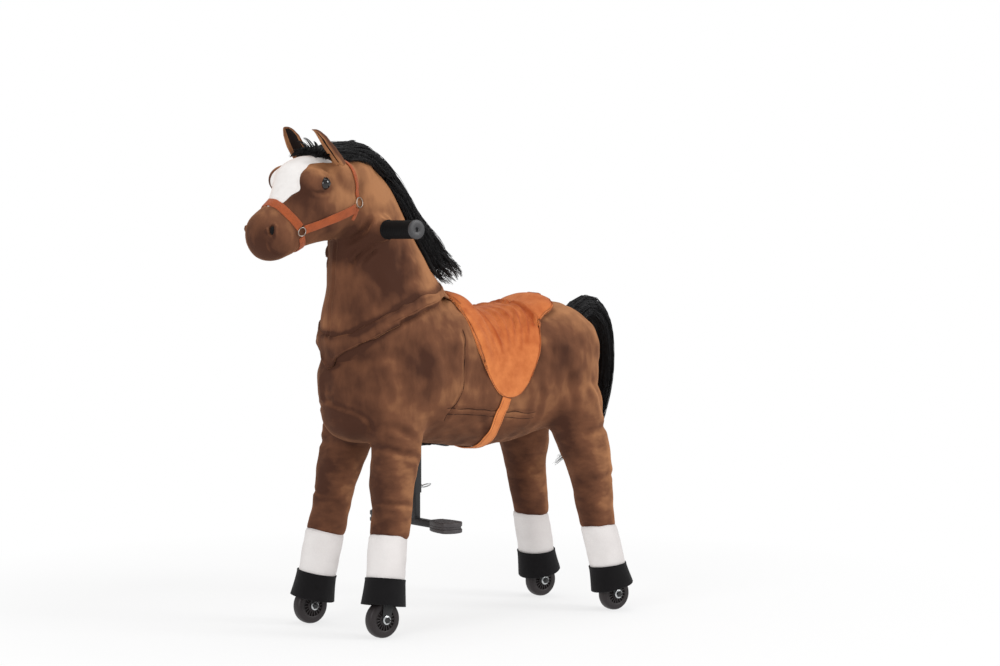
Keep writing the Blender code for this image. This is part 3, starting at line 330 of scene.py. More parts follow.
def turned(start, end, profile, sides):
    """Shell of a turned part: its profile's (share of the length, radius) run start to end."""
    start, end = np.asarray(start, float), np.asarray(end, float)
    axis = unit(end - start)
    across = unit(np.cross(axis, X if abs(axis[0]) < 0.9 else Z))
    turns = np.arange(sides)[:, None] * 2 * math.pi / sides
    rim = np.cos(turns) * across + np.sin(turns) * np.cross(axis, across)
    return skin([start + (end - start) * share + rim * radius for share, radius in profile])


def circle(radius, count):
    """Outline of a round wire or thread."""
    return arc((0, 0), radius, radius, 0, 360 - 360 / count, count)


turns = np.arange(40) * 2 * math.pi / 40
swing = LOOP_R * np.sin(turns)
loop_path = np.column_stack([swing, LOOP_Y + LOOP_R * np.cos(turns), LOCK_Z + 0.45 * swing])
pin_profile = [(0, 0.0012), (0.05, 0.0026), (0.80, 0.0026), (0.82, 0.0032), (0.97, 0.0032)]
pin_profile += [(1, 0.0026)]
pin_end = LOOP_Y - LOOP_R + 0.0015
pin = turned((0, PIN_TIP_Y, LOCK_Z), (0, pin_end, LOCK_Z), pin_profile, 24)
pin_loop = skin(sweep(loop_path, circle(0.0011, 10), Z, True), True)
lock = piece("lock_pin_and_loop", [pin, pin_loop], zinc, "lock", 40)
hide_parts("lock_pin")

# ---- Forks and wheels ----------------------------------------------------------------
# Each wheel is one moulding in dark nylon with a ring of ribs round its hub. It turns on
# a bolt between the cheeks of a bent steel fork, held by a domed washer and a hex nut.

WHEEL_X = 0.107
ENDS = {"front": (-0.199, 0.033), "rear": (0.331, 0.030)}  # y and radius of the wheels
HIPS = {"front": (0.0624, -0.128, 0.465), "rear": (0.0781, 0.225, 0.465)}
LEGS = [(end, word, side) for end in ENDS for word, side in SIDES]
RIBS, RIB_X = 18, 0.0072
WHEEL_PROFILE = [  # half of a 33 mm wheel, bore to tread: x, radius
    (0.0100, 0.0046), (0.0106, 0.0052), (0.0106, 0.0096), (0.0098, 0.0106),
    (0.0062, 0.0114), (0.0062, 0.0186), (0.0096, 0.0196), (0.0102, 0.0206),
    (0.0100, 0.0290), (0.0090, 0.0308), (0.0068, 0.0323), (0.0030, 0.0330),
]
FORK_GAP = 0.0052  # between the tread and the fork's crown
CHEEK_IN, CHEEK_OUT, CHEEK_HALF = 0.0113, 0.0136, 0.0117
CROWN_THICK, CROWN_HALF = 0.0030, 0.0116
WASHER_X = 0.0135

# Nylon: near-black warm brown, scuffed to a soft sheen on the tread.
wheel_plastic = hard_look("wheel_nylon", "#1f1a1b", "#302a2b", 0.0016, 0.45, 0.00015, 0.0, 0.3)


def leg_line(end, side):
    """Wheel centre and hip of a leg."""
    wheel_y, radius = ENDS[end]
    return np.array([side * WHEEL_X, wheel_y, radius]), np.array(HIPS[end]) * (side, 1, 1)


for end, word, side in LEGS:
    centre, hip = leg_line(end, side)
    radius = centre[2]
    k = radius / 0.033  # the profile is that of a front wheel
    profile = WHEEL_PROFILE + [(-x, r) for x, r in reversed(WHEEL_PROFILE)]
    turns = np.arange(72) * 2 * math.pi / 72
    spokes = np.column_stack([np.zeros(72), np.cos(turns), np.sin(turns)])
    shells = [skin([centre + X * x + spokes * r * k for x, r in profile], True)]
    for i in range(RIBS):
        turn = 2 * math.pi * i / RIBS
        out = np.array([0, math.cos(turn), math.sin(turn)]) * k
        for way in (1, -1):
            path = [centre + out * r + X * way * RIB_X for r in (0.0100, 0.0126, 0.0165, 0.0200)]
            shells.append(skin(sweep(path, rounded(0.0011, 0.0021, 0.0007, 3), X)))
    wheel = piece(f"{end}_{word}_roller", shells, wheel_plastic, f"{end}_{word}_wheel", 40)
    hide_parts(f"{end}_{word}_wheel")

    body = f"front_{word}_caster" if end == "front" else "rear_legs"
    up = unit((hip - centre) * (0, 1, 1))
    back = np.array([0, -up[2], up[1]])
    lean = math.degrees(math.atan2(up[2], up[1]))
    top = radius + FORK_GAP
    under_crown = top - CROWN_THICK
    foot = arc(centre[1:], 0.0088, 0.0088, lean + 90, lean + 270, 13)
    corners = [(top, -CHEEK_HALF), (top, CHEEK_HALF)]
    cheek = np.vstack([foot, [(centre + up * a + back * b)[1:] for a, b in corners]])
    corners = [(under_crown, -CROWN_HALF), (top, -CROWN_HALF)]
    corners += [(top, CROWN_HALF), (under_crown, CROWN_HALF)]
    crown = [(centre + up * a + back * b)[1:] for a, b in corners]
    axis = unit(hip - centre)
    stem_low, stem_high = centre + axis * (top - 0.002), centre + axis * (top + 0.036)
    bolt = [(0, 0.003), (0.03, 0.004), (0.97, 0.004), (1, 0.003)]
    shells = [
        slab(cheek, centre[0] + CHEEK_IN, centre[0] + CHEEK_OUT, 0.0007),
        slab(cheek, centre[0] - CHEEK_OUT, centre[0] - CHEEK_IN, 0.0007),
        slab(crown, centre[0] - CHEEK_OUT - 0.0001, centre[0] + CHEEK_OUT + 0.0001, 0.0005),
        turned(stem_low, stem_high, [(0, 0.0078), (1, 0.0078)], 24),
        turned(centre - X * 0.0188, centre + X * 0.0188, bolt, 20),
    ]
    washers = []
    for way in (-1, 1):
        spot = centre + X * way * WASHER_X
        domed = [(0, 0.0076), (0.3, 0.0082), (0.6, 0.0080), (1, 0.0066)]
        washers.append(turned(spot, spot + X * way * 0.0018, domed, 32))
        nut = arc(centre[1:], 0.0060, 0.0060, 0, 300, 6)
        faces = sorted((spot[0] + way * 0.0012, spot[0] + way * 0.0044))
        shells.append(slab(nut, *faces, 0.0006))
    fork = piece(f"{end}_{word}_wheel_fork", shells, powder_coat, body, 30)
    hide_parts(f"{end}_{word}_fork")
    washer = piece(f"{end}_{word}_axle_washers", washers, zinc, body, 30)

# ---- Plush body and legs -------------------------------------------------------------
# Panels of short brown pile, sewn inside out and stuffed with fibre round the frame. The
# torso and the four upper legs are one skin that flows over the hips.

TORSO_ROWS = [  # y, lowest z, highest z, half width
    (-0.238, 0.396, 0.468, 0.024),
    (-0.222, 0.356, 0.503, 0.050),
    (-0.180, 0.335, 0.535, 0.090),
    (-0.120, 0.330, 0.560, 0.114),
    (-0.040, 0.326, 0.585, 0.118),
    (0.020, 0.316, 0.586, 0.116),
    (0.065, 0.312, 0.562, 0.1155),
    (0.115, 0.311, 0.556, 0.116),
    (0.190, 0.325, 0.562, 0.121),
    (0.250, 0.342, 0.564, 0.1195),
    (0.295, 0.356, 0.549, 0.104),
    (0.315, 0.370, 0.540, 0.084),
    (0.332, 0.385, 0.520, 0.061),
    (0.346, 0.410, 0.492, 0.037),
    (0.352, 0.430, 0.470, 0.018),
]
LIMB_ROWS = {  # z, half width, half length, shift back, shift inward
    "front": [
        (0.420, 0.036, 0.036, 0.012, 0.004),
        (0.396, 0.046, 0.049, 0.012, 0.004),
        (0.350, 0.046, 0.048, 0.010, 0.004),
        (0.300, 0.042, 0.043, 0.006, 0.002),
        (0.248, 0.0365, 0.0370, 0.003, 0.0),
        (0.210, 0.0345, 0.0350, 0.004, 0.0),
        (0.178, 0.0340, 0.0342, 0.002, 0.0),
        (0.172, 0.0322, 0.0324, 0.002, 0.0),
        (0.168, 0.0270, 0.0270, 0.002, 0.0),
    ],
    "rear": [
        (0.420, 0.036, 0.046, 0.004, 0.004),
        (0.396, 0.048, 0.060, 0.004, 0.004),
        (0.345, 0.047, 0.053, 0.010, 0.004),
        (0.295, 0.0430, 0.0465, 0.012, 0.002),
        (0.250, 0.0370, 0.0390, 0.010, 0.0),
        (0.205, 0.0345, 0.0350, 0.004, 0.0),
        (0.162, 0.0327, 0.0330, 0.002, 0.0),
        (0.156, 0.0310, 0.0312, 0.002, 0.0),
        (0.152, 0.0260, 0.0260, 0.002, 0.0),
    ],
}
TORSO_POWER = 2.35  # how square the torso's section is
STUMP_ROWS = [  # under the neck: lift, share of its size
    (-0.050, 0.6), (-0.040, 0.86), (-0.010, 0.965), (0.020, 0.965),
    (0.036, 0.945), (0.046, 0.85), (0.049, 0.5),
]
NECK_TILT = math.radians(20)
NECK_FOOT = np.array([0, -0.110, 0.5195])
NECK_UP = np.array([0, -math.sin(NECK_TILT), math.cos(NECK_TILT)])
NECK_BACK = np.array([0, math.cos(NECK_TILT), math.sin(NECK_TILT)])
# How far the seams of each foot sit down the leg: they were sewn on unevenly
SLIPS = {"front": {1: 0.005, -1: -0.006}, "rear": {1: 0.0, -1: 0.004}}


def through(rows, steps):
    """A smooth run of rows that passes through the given ones."""
    rows = np.asarray(rows, float)
    rows = np.vstack([2 * rows[0] - rows[1], rows, 2 * rows[-1] - rows[-2]])
    run = []
    for a, b, c, d in zip(rows, rows[1:], rows[2:], rows[3:]):
        for t in np.arange(steps) / steps:
            bend = (2 * a - 5 * b + 4 * c - d) * t**2 + (3 * b - 3 * c + d - a) * t**3
            run.append(b + 0.5 * ((c - a) * t + bend))
    return np.array(run + [rows[-2]])


def oval(centre, across, up, half_across, half_up, count=64, power=2.0):
    """Closed oval section; a power above 2 squares it off."""
    turns = np.arange(count) * 2 * math.pi / count
    a, b = np.cos(turns), np.sin(turns)
    a = half_across * np.sign(a) * np.abs(a) ** (2 / power)
    b = half_up * np.sign(b) * np.abs(b) ** (2 / power)
    return np.asarray(centre) + a[:, None] * across + b[:, None] * up


def leg_ring(end, side, z, half_x, half_y, back, inward=0.0):
    """Oval section of a leg, square to the line from the wheel to the hip."""
    centre, hip = leg_line(end, side)
    axis = unit(hip - centre)
    across = unit(X - axis * axis[0])
    along = np.cross(axis, across)
    slip = SLIPS[end][side] * np.clip((0.24 - z) / 0.06, 0, 1) * np.clip((z - 0.03) / 0.02, 0, 1)
    spot = centre + (hip - centre) * (z + slip - centre[2]) / (hip[2] - centre[2])
    ring = oval(spot + along * back - across * side * inward, across, along, half_x, half_y)
    if end == "rear":  # the seams dip towards the back
        dip = np.interp(z, [0.05, 0.085, 0.14, 0.175, 0.2], [0.0, 0.13, 0.2, 0.26, 0.0])
        ring[:, 2] -= dip * (ring[:, 1] - spot[1])
    return ring


def melt(shells, grain):
    """One even skin over overlapping shells, as (points, four-cornered faces)."""
    lump = piece("melt", shells, powder_coat)
    change = lump.modifiers.new("melt", "REMESH")
    change.mode = "VOXEL"
    change.voxel_size = grain
    done = lump.evaluated_get(bpy.context.evaluated_depsgraph_get()).data
    points = np.empty(len(done.vertices) * 3, np.float32)
    done.vertices.foreach_get("co", points)
    faces = np.empty(len(done.loops), np.int32)
    done.loops.foreach_get("vertex_index", faces)
    bpy.data.objects.remove(lump)
    return points.reshape(-1, 3).astype(float), faces.reshape(-1, 4)


def relax(points, faces, times, where=1.0):
    """Lets an uneven skin settle: each point moves halfway to the middle of its neighbours."""
    here, there = faces.ravel(), np.roll(faces, -1, 1).ravel()
    count = np.bincount(here, minlength=len(points))[:, None]
    for _ in range(times):
        total = [np.bincount(here, points[there, k], len(points)) for k in range(3)]
        points = points + (np.column_stack(total) / count - points) * 0.5 * where
    return points


def outward(points, faces):
    """Unit normal at each point of a skin."""
    a, b, c, d = (points[faces[:, k]] for k in range(4))
    cross = np.cross(c - a, d - b)
    total = np.zeros_like(points)
    for corner in range(4):
        for k in range(3):
            total[:, k] += np.bincount(faces[:, corner], cross[:, k], len(points))
    return unit(total)


def crease(points, normals, line, depth, width, lip, fade):
    """Sinks a line into a skin, with a soft lip along both sides; a negative depth raises it."""
    line = through(line, 5)
    edge = 0.012 + 4 * width
    near = ((points > line.min(0) - edge) & (points < line.max(0) + edge)).all(1)
    for k, p in enumerate(line):  # lays the line on the skin
        line[k] = points[near][((points[near] - p) ** 2).sum(1).argmin()]
    line[1:-1] = (line[:-2] + 2 * line[1:-1] + line[2:]) / 4
    edge = 5 * width
    near = np.where(((points > line.min(0) - edge) & (points < line.max(0) + edge)).all(1))[0]
    spots = points[near]
    best, share = np.full(len(near), 1.0), np.zeros(len(near))
    for i, (a, b) in enumerate(zip(line, line[1:])):
        t = np.clip((spots - a) @ (b - a) / max((b - a) @ (b - a), 1e-12), 0, 1)
        far = np.linalg.norm(spots - a - t[:, None] * (b - a), axis=1)
        share = np.where(far < best, (i + t) / (len(line) - 1), share)
        best = np.minimum(far, best)
    reach = best / width
    form = np.exp(-(reach**2)) - lip * np.exp(-((reach - 2) ** 2) / 0.7)
    if fade:
        form *= np.clip(np.minimum(share, 1 - share) / fade, 0, 1)
    moved = points.copy()
    moved[near] -= normals[near] * (depth * form)[:, None]
    return moved


def both(line):
    """A line on the left side and its mirror on the right."""
    line = np.asarray(line, float)
    return [line, line * (-1, 1, 1)]


def creased(points, normals, lines, lip, fade):
    """Creases a skin on both sides along lines given with their depth and width in mm."""
    for line, depth, width in lines:
        for mirrored in both(line):
            points = crease(points, normals, mirrored, depth / 1000, width / 1000, lip, fade)
    return points


def lumps(points, normals, size, height):
    """Unevenness of the stuffing, in soft swells of about one size."""
    swell = [noise.noise(Vector(p / size)) for p in points]
    return points + normals * (height * np.array(swell))[:, None]


def plush_look(name, dark, middle, light, sheen, streak=0.5):
    """Short pile, streaked, with painted sheen and shade: dark facing forward and down, light
    facing up and back.
    """
    look = new_look(name)
    place = add(look, "Attribute", {"attribute_name": "rest_place"}).outputs["Vector"]
    # painted sheen and shade, with the pile's marks, read from the points
    painted_sheen_and_marks = add(look, "Attribute", {"attribute_name": "nap_and_painted_shading"}).outputs["Fac"]
    upright = add(look, "Mapping", inputs={"Vector": place, "Scale": (1.0, 1.0, 0.45)})
    level = add(look, "Mapping", inputs={"Vector": place, "Scale": (0.7, 0.7, 1.4)})
    texture = {"Scale": 62.0, "Detail": 3.0, "Roughness": 0.5, "Distortion": 0.3}
    brushed = add(look, "TexNoise", inputs={"Vector": upright, **texture})
    crushed = add(look, "TexNoise", inputs={"Vector": level, **texture})
    height = add(look, "SeparateXYZ", inputs={"Vector": place})
    # The streaks run up the body and round the legs
    on_legs = add(look, "MapRange", inputs={
        "Value": height.outputs["Z"], "From Min": 0.42, "From Max": 0.34,
    })
    streaks = add(look, "MixRGB", inputs={"Fac": on_legs, "Color1": brushed, "Color2": crushed})
    patches = add(look, "TexNoise", inputs={"Vector": place, "Scale": 16.0, "Detail": 2.0})
    pile = add(look, "TexNoise", inputs={"Vector": place, "Scale": 900.0, "Detail": 2.0})
    swell = add(look, "Math", {"operation": "MULTIPLY_ADD"}, {0: patches, 1: 0.9, 2: painted_sheen_and_marks})
    nap_and_painted_shading = add(look, "Math", {"operation": "MULTIPLY_ADD"}, {0: streaks, 1: streak, 2: swell})
    spread = add(look, "MapRange", inputs={"Value": nap_and_painted_shading, "From Min": 0.77, "From Max": 1.66})
    tone = add(look, "ValToRGB", inputs={"Fac": spread})
    ramp = tone.color_ramp.elements
    ramp[0].position, ramp[0].color = 0.0, colour(dark)
    ramp[1].position, ramp[1].color = 1.0, colour(light)
    ramp.new(0.5).color = colour(middle)
    fleck = add(look, "MixRGB", {"blend_type": "MULTIPLY"}, {
        "Fac": 0.2, "Color1": tone, "Color2": pile,
    })
    relief = add(look, "Math", {"operation": "MULTIPLY_ADD"}, {0: pile, 1: 0.3, 2: streaks})
    bump = add(look, "Bump", inputs={"Height": relief, "Distance": 0.0015, "Strength": 0.5})
    shader = add(look, "BsdfPrincipled", inputs={
        "Base Color": fleck, "Roughness": 0.85, "Specular IOR Level": 0.15, "Sheen Weight": sheen,
        "Sheen Roughness": 0.35, "Sheen Tint": colour(light), "Normal": bump,
    })
    add(look, "OutputMaterial", inputs={"Surface": shader})
    return look


def on_skin(tree, place):
    """Nearest point of a skin, and the skin's outward direction there."""
    spot, way, _, _ = tree.find_nearest(Vector(place))
    return np.array(spot), np.array(way)


def laid_on(tree, line):
    """A smooth line dropped onto a skin, and the skin's outward direction along it."""
    spots, ways = np.array([on_skin(tree, p) for p in through(line, 8)]).swapaxes(0, 1)
    for _ in range(3):
        spots[1:-1] = (spots[:-2] + spots[2:] + 2 * spots[1:-1]) / 4
        ways[1:-1] = (ways[:-2] + ways[2:] + 2 * ways[1:-1]) / 4
    return spots, unit(ways)


# Brown plush: chocolate to caramel, darker where painted shade falls and lighter where painted
# sheen lies, and streaked.
BROWNS = ("#472a1e", "#724933", "#ab7751")
brown_plush = plush_look("brown_plush", *BROWNS, 0.7)

torso = []
for y, low, high, half in through(TORSO_ROWS, 6):
    middle = (0, y, (low + high) / 2)
    torso.append(oval(middle, X, Z, half, (high - low) / 2, 96, TORSO_POWER))
stump = []
for lift, share in STUMP_ROWS:
    spot = NECK_FOOT + NECK_UP * lift
    stump.append(oval(spot, X, NECK_BACK, 0.103 * share, 0.126 * min(share, 0.975), 96))
shells = [skin(torso), skin(stump)]
for end, word, side in LEGS:
    shells.append(skin([leg_ring(end, side, *row) for row in through(LIMB_ROWS[end], 5)]))
points, faces = melt(shells, grain=0.0037)
points = relax(points, faces, 3)
in_folds = np.exp(-(((points[:, 2] - 0.365) / 0.045) ** 2))[:, None]
points = relax(points, faces, 30, in_folds)
normals = outward(points, faces)
points = lumps(points, normals, size=0.060, height=0.0045)
points = lumps(points, normals, size=0.022, height=0.0016)
SHOULDER_SEAM = [(0.11, -0.0152, 0.5391), (0.115, -0.0169, 0.5092), (0.118, -0.0215, 0.4615)]
SHOULDER_SEAM += [(0.118, -0.0238, 0.4331), (0.115, -0.0417, 0.3965), (0.11, -0.0536, 0.3683)]
BELLY_SEAM = [(0.108, -0.055, 0.398), (0.112, -0.0394, 0.3961), (0.114, 0.0171, 0.3883)]
BELLY_SEAM += [(0.114, 0.0626, 0.3831), (0.114, 0.1083, 0.3779), (0.113, 0.1519, 0.3731)]
LOWER_SEAM = [(x - 0.002, y, z - 0.0125) for x, y, z in BELLY_SEAM]
CHEST_SEAM = [(-0.02, -0.2378, 0.4216), (0.02, -0.2433, 0.4097), (0.04, -0.2296, 0.4017)]
CHEST_SEAM += [(0.06, -0.2159, 0.3936), (0.07, -0.2014, 0.3775), (0.06, -0.185, 0.3646)]
SEAMS = [(SHOULDER_SEAM, 2.2, 3.2), (BELLY_SEAM, 1.2, 2.6), (CHEST_SEAM, 2.2, 4.0)]
FOLDS = [  # points of a fold's line, its depth and width in mm
    ([(0.12, 0.1501, 0.4352), (0.12, 0.1524, 0.3989), (0.118, 0.1548, 0.3715),
      (0.11, 0.1513, 0.3401)], 2.6, 7),
    ([(0.06, -0.1717, 0.3707), (0.10, -0.1643, 0.3687), (0.115, -0.1425, 0.356),
      (0.115, -0.1247, 0.3439)], 2.2, 7),
    ([(0.06, -0.1674, 0.3275), (0.10, -0.1644, 0.3277), (0.11, -0.1343, 0.3174),
      (0.105, -0.1015, 0.3018)], 2.6, 6),
    ([(0.07, -0.1863, 0.2355), (0.09, -0.1793, 0.237), (0.11, -0.1612, 0.234),
      (0.11, -0.1345, 0.2264)], 1.8, 4),
    ([(0.113, -0.165, 0.515), (0.116, -0.160, 0.480), (0.112, -0.168, 0.440)], 2.5, 9),
    ([(0.114, -0.115, 0.520), (0.118, -0.110, 0.480), (0.117, -0.118, 0.430)], 2.5, 10),
    ([(0.116, -0.060, 0.500), (0.119, -0.062, 0.450), (0.117, -0.075, 0.405)], 2.2, 9),
    ([(0.119, 0.205, 0.470), (0.121, 0.215, 0.430), (0.117, 0.225, 0.390),
      (0.110, 0.230, 0.350)], 2.8, 10),
    ([(0.112, 0.275, 0.440), (0.111, 0.280, 0.400), (0.105, 0.285, 0.360)], 2.4, 9),
    ([(0.06, 0.300, 0.330), (0.10, 0.290, 0.335), (0.122, 0.260, 0.330),
      (0.125, 0.225, 0.320)], 2.6, 7),
    ([(0.07, 0.305, 0.250), (0.10, 0.310, 0.252), (0.118, 0.290, 0.248),
      (0.118, 0.262, 0.243)], 1.8, 5),
    ([(0.070, 0.060, 0.318), (0.100, 0.040, 0.345), (0.110, 0.020, 0.370)], 2.2, 8),
]
points = creased(points, normals, SEAMS, lip=0.35, fade=0.04)
points = creased(points, normals, FOLDS, lip=0.35, fade=0.25)

# The neck's skirt is sewn on later; painted shade runs along its seam and on the torso just under
# its edge
SKIRT_TOP = [(0.0, -0.012, 0.6210), (0.040, -0.0240, 0.6165), (0.0686, -0.0482, 0.6085)]
SKIRT_TOP += [(0.0844, -0.1007, 0.6013), (0.0850, -0.1493, 0.5831), (0.0705, -0.1937, 0.5590)]
SKIRT_TOP += [(0.0500, -0.2158, 0.5432), (0.0192, -0.2295, 0.5352), (0.0, -0.2315, 0.5345)]
SKIRT_EDGE = [(0.0, 0.0040, 0.6010), (0.040, -0.0090, 0.5960), (0.0700, -0.0360, 0.5890)]
SKIRT_EDGE += [(0.0930, -0.0930, 0.5790), (0.0950, -0.1400, 0.5620), (0.0850, -0.1770, 0.5430)]
SKIRT_EDGE += [(0.0640, -0.2080, 0.5200), (0.0350, -0.2270, 0.4970), (0.0, -0.2340, 0.4753)]
PAINTED_SHADING_AND_PILE_MARKS += [(spot - Z * 0.004, 0.0070, -0.28) for spot in through(SKIRT_TOP, 8)]
PAINTED_SHADING_AND_PILE_MARKS += [(spot - Z * 0.006, 0.0055, -0.25) for spot in through(SKIRT_EDGE, 8)]

# Seam: a thin tube of dark pile laid in each seam's groove, painted shade that stands for the
# shadow in the groove.
painted_seam_shadow = plush_look("painted_seam_shadow", "#2b1911", "#3b241a", "#4d3024", 0.1)
body_tree = BVHTree.FromPolygons(points.tolist(), faces.tolist())
BODY_CUT_Y = 0.05  # where the front and the rear panels meet
PANEL_SEAMS = {"front": [SHOULDER_SEAM, BELLY_SEAM[:4], LOWER_SEAM[:4]]}
PANEL_SEAMS["rear"] = [BELLY_SEAM[3:], LOWER_SEAM[3:]]
LEG_BENDS = {  # all torso up to the first point, all leg from the second; nothing is bent with them
    "front": [(0.02, -0.14, 0.38), (0.10, -0.20, 0.30)],
    "rear": [(0.02, 0.235, 0.38), (0.10, 0.295, 0.30)],
}
middle = points[faces].mean(1)
for end, word, side in LEGS:
    mine = (middle[:, 0] * side > 0) & ((middle[:, 1] < BODY_CUT_Y) == (end == "front"))
    used, where = np.unique(faces[mine], return_inverse=True)
    quarter_shell = (points[used], where.reshape(-1, 4))
    quarter = piece(f"{end}_{word}_body_and_leg", [quarter_shell], brown_plush)
    bend = [Vector((side * x, y, z)) for x, y, z in LEG_BENDS[end]]
    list(bend)
    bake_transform(quarter)
    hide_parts(f"{end}_{word}_leg_plush", "torso_plush")
    rows = []
    for line in PANEL_SEAMS[end]:
        spots, ways = laid_on(body_tree, np.array(line) * (side, 1, 1))
        # thin dark tubes: painted shadow along the seams
        rows.append(skin(sweep(spots - ways * 0.0002, circle(0.0007, 8), ways)))
    seam = piece(f"{end}_{word}_seam_shadow_tubes", rows, painted_seam_shadow)
    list(bend)
    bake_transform(seam)
body_points, body_faces = points, faces

# ---- Socks ---------------------------------------------------------------------------
# White pile panels sewn between the brown legs and the cuffs, stuffed like the legs. They
# pull in at both seams.

SOCKS = {"front": (0.1725, 0.097, 0.0338), "rear": (0.1565, 0.083, 0.0325)}  # levels, radius

# White plush: the same pile undyed, painted softly grey where painted shade falls on it.
white_plush = plush_look("white_plush", "#dad5d3", "#e4dfdd", "#ece8e6", 0.2, 0.3)

for end, word, side in LEGS:
    high, low, size = SOCKS[end]
    rows = [
        (high + 0.004, size - 0.0070), (high, size - 0.0018), (high - 0.003, size - 0.0002),
        (high - 0.010, size + 0.0008), ((high + low) / 2, size + 0.0010),
        (low + 0.010, size + 0.0004), (low - 0.004, size - 0.0006), (low - 0.010, size - 0.0060),
    ]
    spots, quads = skin([leg_ring(end, side, z, r, r, 0.0015) for z, r in through(rows, 5)])
    normals = outward(spots, np.array([q for q in quads if len(q) == 4]))
    spots = lumps(spots, normals, size=0.020, height=0.0014)
    sock = piece(f"{end}_{word}_sock_panel", [(spots, quads)], white_plush, f"{end}_legs")
    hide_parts(f"{end}_{word}_sock")

# ---- Hoof cuffs ----------------------------------------------------------------------
# Black woven fabric sleeves over the wheel forks, hemmed at the top over the sock and left
# open below, where they flare out round the wheel.

# Level of the hem and of the open end, radius at each
CUFFS = {"front": (0.0985, 0.052, 0.0350, 0.0400), "rear": (0.0845, 0.043, 0.0340, 0.0385)}
CUFF_WALL = 0.0028


def fabric_look(name, low, high, pitch, relief, sheen):
    """Plain weave: warp and weft bands at one thread pitch, drawn from the resting shape."""
    look = new_look(name)
    place = add(look, "Attribute", {"attribute_name": "rest_place"}).outputs["Vector"]
    scale = 1 / pitch / 20 * 2 * math.pi
    bands = []
    for way in ("DIAGONAL", "Z"):  # warp, then weft
        band = add(look, "TexWave", {"wave_profile": "SIN", "bands_direction": way}, {
            "Vector": place, "Scale": scale, "Distortion": 1.0, "Detail Scale": 4.0,
        })
        bands.append(band.outputs["Fac"])
    weave = add(look, "Math", {"operation": "MULTIPLY"}, {0: bands[0], 1: bands[1]})
    cloudy = add(look, "TexNoise", inputs={"Vector": place, "Scale": 60.0, "Detail": 3.0})
    blend = add(look, "Math", {"operation": "MULTIPLY_ADD"}, {0: weave, 1: 0.5, 2: cloudy})
    tone = add(look, "MixRGB", inputs={
        "Fac": blend, "Color1": colour(low), "Color2": colour(high),
    })
    bump = add(look, "Bump", inputs={"Height": weave, "Distance": relief})
    shader = add(look, "BsdfPrincipled", inputs={
        "Base Color": tone, "Roughness": 0.8, "Specular IOR Level": 0.15, "Sheen Weight": sheen,
        "Normal": bump,
    })
    add(look, "OutputMaterial", inputs={"Surface": shader})
    return look


# Cuff cloth: coarse black polyester canvas, its threads about 1 mm apart.
cuff_cloth = fabric_look("black_canvas", "#070607", "#121012", 0.0011, 0.0003, 0.05)

for end, word, side in LEGS:
    high, low, size, flare = CUFFS[end]
    outer = [
        (high - 0.0020, size - 0.0004), (high, size + 0.0002), (high + 0.0002, size + 0.0012),
        (high - 0.0012, size + 0.0016), (high - 0.0060, size + 0.0014),
        ((high + low) / 2, (size + flare) / 2 + 0.0006), (low + 0.0030, flare + 0.0006),
        (low + 0.0008, flare + 0.0008), (low, flare - 0.0002),
    ]
    inner = [
        (low + 0.0006, flare - CUFF_WALL), ((high + low) / 2, (size + flare) / 2 - CUFF_WALL),
        (high - 0.004, size - CUFF_WALL),
    ]
    run = [*through(outer, 4), *through(inner, 4)]
    spots, quads = skin([leg_ring(end, side, z, r, r, 0.001) for z, r in run], True)
    sag = 0.5 + 0.5 * np.clip((high - spots[:, 2]) / (high - low), 0, 1)
    wavy = [noise.noise(Vector((p[0], p[1], p[2] * 0.3)) / 0.026) for p in spots]
    from_leg = unit((spots - leg_line(end, side)[0]) * (1, 1, 0))
    spots = spots + from_leg * (0.0022 * sag * np.array(wavy))[:, None]
    cuff = piece(f"{end}_{word}_cuff", [(spots, quads)], cuff_cloth, f"{end}_legs")
    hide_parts(f"{end}_{word}_hoof_cuff")

# ---- Belly gaiter --------------------------------------------------------------------
# A puckered patch of black canvas, sewn over the slot in the belly to keep the stuffing in.
# The stirrup post comes out through it and slides up and down there.

gaiter_rings = []
for share in np.linspace(0, 1, 29):
    y = -0.0745 + 0.095 * share
    puff = math.sin(math.pi * share) ** 0.4
    lift = 0.0008 * math.cos(share * 14 * math.pi)
    belly, _, _, _ = body_tree.ray_cast(Vector((0, y, 0.2)), Vector((0, 0, 1)))
    spot = (0, y, belly[2] + 0.0006 + lift)
    gaiter_rings.append(oval(spot, X, Z, 0.018 + 0.008 * puff, 0.0018 + 0.0012 * puff, 40, 3.0))
gaiter = piece("belly_slot_gaiter", [skin(gaiter_rings)], cuff_cloth, "frame")
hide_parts("belly_gaiter")

# ---- Neck and head -------------------------------------------------------------------
# One stuffed skin of brown plush, sewn together down the throat, with a white blaze set in.
# The foot of the neck is soft.

NECK_ROWS = [  # y, z, half depth, half width, tilt
    (-0.118, 0.575, 0.121, 0.094, 16),
    (-0.131, 0.640, 0.096, 0.074, 12),
    (-0.149, 0.705, 0.077, 0.062, 18),
    (-0.168, 0.758, 0.066, 0.054, 30),
    (-0.192, 0.800, 0.050, 0.044, 45),
]
HEAD_ROWS = [  # y, z, half height, half width, tilt
    (-0.206, 0.792, 0.060, 0.038, 40),
    (-0.224, 0.788, 0.080, 0.051, 38),
    (-0.250, 0.779, 0.087, 0.059, 36),
    (-0.282, 0.768, 0.082, 0.060, 36),
    (-0.307, 0.749, 0.063, 0.050, 36),
    (-0.331, 0.733, 0.050, 0.042, 34),
    (-0.354, 0.720, 0.048, 0.044, 30),
    (-0.378, 0.710, 0.042, 0.040, 24),
    (-0.394, 0.705, 0.028, 0.027, 20),
    (-0.400, 0.703, 0.010, 0.010, 20),
]
EYE = np.array([0.0545, -0.2905, 0.8075])


